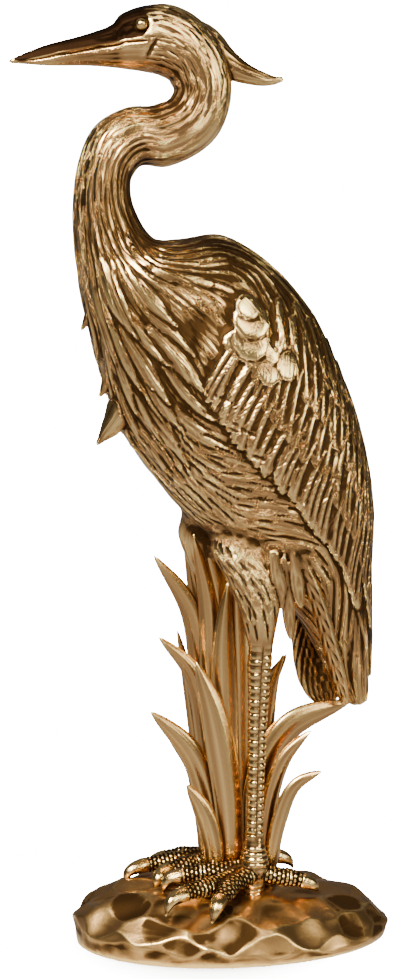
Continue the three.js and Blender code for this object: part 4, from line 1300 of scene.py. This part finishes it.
def gilding(name, hair_share, hair_bump, gloss, age):
    """Gold paint over brown. How deep a place is sums its hollows, its stain, the wear and the age, and
    brown shows where that is high. The broad hollows add painted shade, and the stain holds painted shade
    and painted light in places. The gold is paler where ridges are rubbed. Fine lines follow the
    strands, and are as strong as the hair there."""
    finish = Finish(bpy.data.materials.new(name))
    place = finish.node("ShaderNodeTexCoord", {}, {}, 3)
    fine, broad_shade, stain_and_painted_light, hair = (finish.node("ShaderNodeAttribute", {"attribute_name": layer}, {}, 2)
                                for layer in ("fine", "broad_shade", "stain_and_painted_light", "hair"))
    strand = finish.node("ShaderNodeAttribute", {"attribute_name": "strand"}, {}, 1)
    scaled = finish.node("ShaderNodeVectorMath", {"operation": "MULTIPLY"}, {0: strand, 1: STRAND_SCALE})
    lines = finish.noise(scaled, 1.0, 2)
    cloud = finish.noise(place, 70, 4)
    grain = finish.noise(place, 900, 3)
    wear = (cloud - 0.5) * 0.8 + (0.5 - lines) * hair * hair_share
    # Brown patina in the small hollows, and painted shade in the broad ones.
    hollow = fine * SMALL_HOLLOW + broad_shade * BROAD_HOLLOW_SHADE
    deep = finish.ramp(hollow + stain_and_painted_light + wear + age, 0.0, 0.9)
    rubbed = finish.ramp(0.0 - fine * SMALL_RIDGE + (lines - 0.5) * hair * hair_share, 0.1, 0.9)
    metal = finish.blend(rubbed, GOLD, PALE_GOLD)
    dark = finish.blend(finish.ramp(stain_and_painted_light, *THICK_STAIN), BROWN, UMBER)
    height = lines * hair * hair_bump + grain * 0.12
    bump = finish.node("ShaderNodeBump", {}, {"Height": height, "Strength": 1.0, "Distance": 0.0006})
    surface = finish.node("ShaderNodeBsdfPrincipled", {}, {
        "Base Color": finish.blend(deep, metal, dark),
        "Metallic": 1.0,
        "Roughness": gloss + deep * 0.42 + (cloud - 0.5) * 0.12,
        "Normal": bump,
    })
    finish.node("ShaderNodeOutputMaterial", {}, {"Surface": surface})
    return finish.owner


feather_gold = gilding("feather_gold", hair_share=1.6, hair_bump=1.1, gloss=0.14, age=0.15)
reed_gold = gilding("reed_gold", hair_share=0.3, hair_bump=0.25, gloss=0.25, age=-0.2)
rock_gold = gilding("rock_gold", hair_share=0.0, hair_bump=0.0, gloss=0.3, age=-0.1)

reeds = [part for part in parts if part.name.startswith("reed_")]
limbs = [part for part in parts if not part.name.startswith(("reed_", "rock"))]
bird = unite(trunk_shell, [unite(limbs[0], limbs[1:])])
ease(bird.data)
thin(bird, BIRD_FACES)
reeds = unite(reeds[0], reeds[1:])
thin(reeds, REED_FACES)
rock = parts[-1]
thin(rock, ROCK_FACES)
for piece, name, edge_angle, material in (
        (bird, "heron", 60, feather_gold), (reeds, "reeds", 50, reed_gold), (rock, "rock", 24, rock_gold)):
    piece.name = name
    piece.data.name = name
    piece.data.materials.append(material)
    finish_mesh(piece, edge_angle)
    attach(piece, "root")
    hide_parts("heron_casting")


# Pads. Four small discs of soft black rubber, moulded with rounded edges, are stuck under the rock and
# carry it.

# A row of the profile is a radius and a height.
PAD_PROFILE = np.array([[4.9, 0.0], [5.3, 0.15], [5.5, 0.5], [5.5, 1.6], [5.3, 1.9], [5.0, 2.0]])
BLACK_RUBBER = (0.012, 0.011, 0.010, 1)
WORN_RUBBER = (0.035, 0.032, 0.03, 1)

rubber = bpy.data.materials.new("rubber")
finish = Finish(rubber)
place = finish.node("ShaderNodeTexCoord", {}, {}, 3)
grain = finish.noise(place, 1500, 3)
bump = finish.node("ShaderNodeBump", {}, {"Height": grain, "Strength": 0.4, "Distance": 0.0002})
surface = finish.node("ShaderNodeBsdfPrincipled", {}, {
    "Base Color": finish.blend(grain, BLACK_RUBBER, WORN_RUBBER),
    "Roughness": 0.55 + grain * 0.3,
    "Normal": bump,
})
finish.node("ShaderNodeOutputMaterial", {}, {"Surface": surface})

turn = np.radians(np.arange(48) * 7.5)
ring = np.stack([np.cos(turn), np.sin(turn), 0 * turn], -1)
skin = PAD_PROFILE[:, None, :1] * ring + PAD_PROFILE[:, None, 1:] * (0, 0, 1)
for name in ("front_left_pad", "front_right_pad", "back_left_pad", "back_right_pad"):
    low, high = (np.array(corner) * 1000 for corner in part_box(name))
    middle = (low + high) / 2 - SHIFT
    middle[2] = 0
    top = middle + (0, 0, PAD_PROFILE[-1, 1])
    pad = shell(name.replace("pad", "disc"), middle + skin, middle, top)
    pad.data.materials.append(rubber)
    pad.data.shade_smooth()
    pad.data.set_sharp_from_angle(angle=np.radians(40))
    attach(pad, "root")
    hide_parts(name)


# Studio. A plain pale floor that fades into a pale background, one large soft light from the front left,
# and a room that is dark above and paler below and in front.

# Rings of the floor and the light's place, target and size are in metres.
FLOOR_RINGS = [0.2, 0.5, 0.8, 1.2, 1.8]
FLOOR_COLOUR = (0.86, 0.85, 0.83, 1)
# Metres from the middle between which the floor fades.
FLOOR_FADE = (0.02, 0.13)
KEY_PLACE = (-0.54, -0.87, 1.02)
KEY_TARGET = (0, 0, 0.22)
KEY_SIZE = 0.4
KEY_POWER = 34
KEY_COLOUR = (1.0, 1.0, 0.8)
BACKGROUND = 40.0
BACKGROUND_COLOUR = (1, 0.995, 0.985, 1)
# Faint glow of the room: the darkness above and the part below, and the colours of faint and strong
# glow. Patches of it lie round the camera's side, round the light, at the upper right and behind: way,
# cosines where they end and are full, and strength.
ROOM_GLOW = (0.07, 0.5)
FAINT_TINT = (1.0, 0.96, 0.88, 1)
STRONG_TINT = (1.0, 1.06, 0.76, 1)
ROOM_PATCHES = [
    [(-0.17, -0.98, 0.00), 0.643, 0.996, 0.29],
    [(-0.42, -0.67, 0.62), 0.951, 0.995, 14],
    [(0.37, -0.80, 0.47), 0.970, 0.998, 14],
    [(0.76, -0.63, 0.16), 0.970, 0.998, 10],
    [(0.0, 0.6, 0.8), 0.5, 1.0, 0.13],
]

turn = np.radians(np.arange(0, 360, 5))
rings = np.array(FLOOR_RINGS)[:, None]
flat = np.stack([rings * np.cos(turn), rings * np.sin(turn), 0 * rings * turn], -1)
floor_mesh = bpy.data.meshes.new("floor")
corner = np.arange(rings.size * turn.size).reshape(rings.size, turn.size)
after = np.roll(corner, -1, axis=1)
quads = np.stack([corner[:-1], corner[1:], after[1:], after[:-1]], -1).reshape(-1, 4)
floor_mesh.from_pydata(flat.reshape(-1, 3).tolist(), [], quads.tolist() + [corner[0].tolist()])
floor = bpy.data.objects.new("floor", floor_mesh)
bpy.context.collection.objects.link(floor)
finish = Finish(bpy.data.materials.new("pale_floor"))
place = finish.node("ShaderNodeTexCoord", {}, {}, 3)
far = finish.node("ShaderNodeVectorMath", {"operation": "LENGTH"}, {0: place}, 1)
surface = finish.node("ShaderNodeBsdfPrincipled", {}, {"Base Color": FLOOR_COLOUR, "Roughness": 0.7})
clear = finish.node("ShaderNodeBsdfTransparent", {}, {})
mixed = finish.node("ShaderNodeMixShader", {}, {0: finish.ramp(far, *FLOOR_FADE), 1: surface, 2: clear})
finish.node("ShaderNodeOutputMaterial", {}, {"Surface": mixed})
floor_mesh.materials.append(finish.owner)

light = bpy.data.lights.new("key_light", "AREA")
light.size = KEY_SIZE
light.energy = KEY_POWER
light.color = KEY_COLOUR
lamp = bpy.data.objects.new("key_light", light)
lamp.location = KEY_PLACE
lamp.rotation_euler = (Vector(KEY_TARGET) - Vector(KEY_PLACE)).to_track_quat("-Z", "Y").to_euler()
bpy.context.collection.objects.link(lamp)

world = bpy.data.worlds.new("studio")
bpy.context.scene.world = world
finish = Finish(world)
way = finish.node("ShaderNodeTexCoord", {}, {}, 0)
rise = finish.node("ShaderNodeSeparateXYZ", {}, {0: way}, 2)
above, below = ROOM_GLOW
glow = below * finish.ramp(0.0 - rise, -0.1, 0.5) + above
for middle, end, full, strength in ROOM_PATCHES:
    near = finish.node("ShaderNodeVectorMath", {"operation": "DOT_PRODUCT"}, {0: way, 1: middle}, 1)
    glow = glow + strength * finish.ramp(near, end, full)
seen = finish.node("ShaderNodeLightPath", {}, {}, 0)
tint = finish.blend(finish.ramp(glow, 0.5, 6.0), FAINT_TINT, STRONG_TINT)
room = finish.node("ShaderNodeBackground", {}, {"Color": tint, "Strength": glow})
pale = finish.node("ShaderNodeBackground", {}, {"Color": BACKGROUND_COLOUR, "Strength": BACKGROUND})
mixed = finish.node("ShaderNodeMixShader", {}, {0: seen, 1: room, 2: pale})
finish.node("ShaderNodeOutputWorld", {}, {"Surface": mixed})
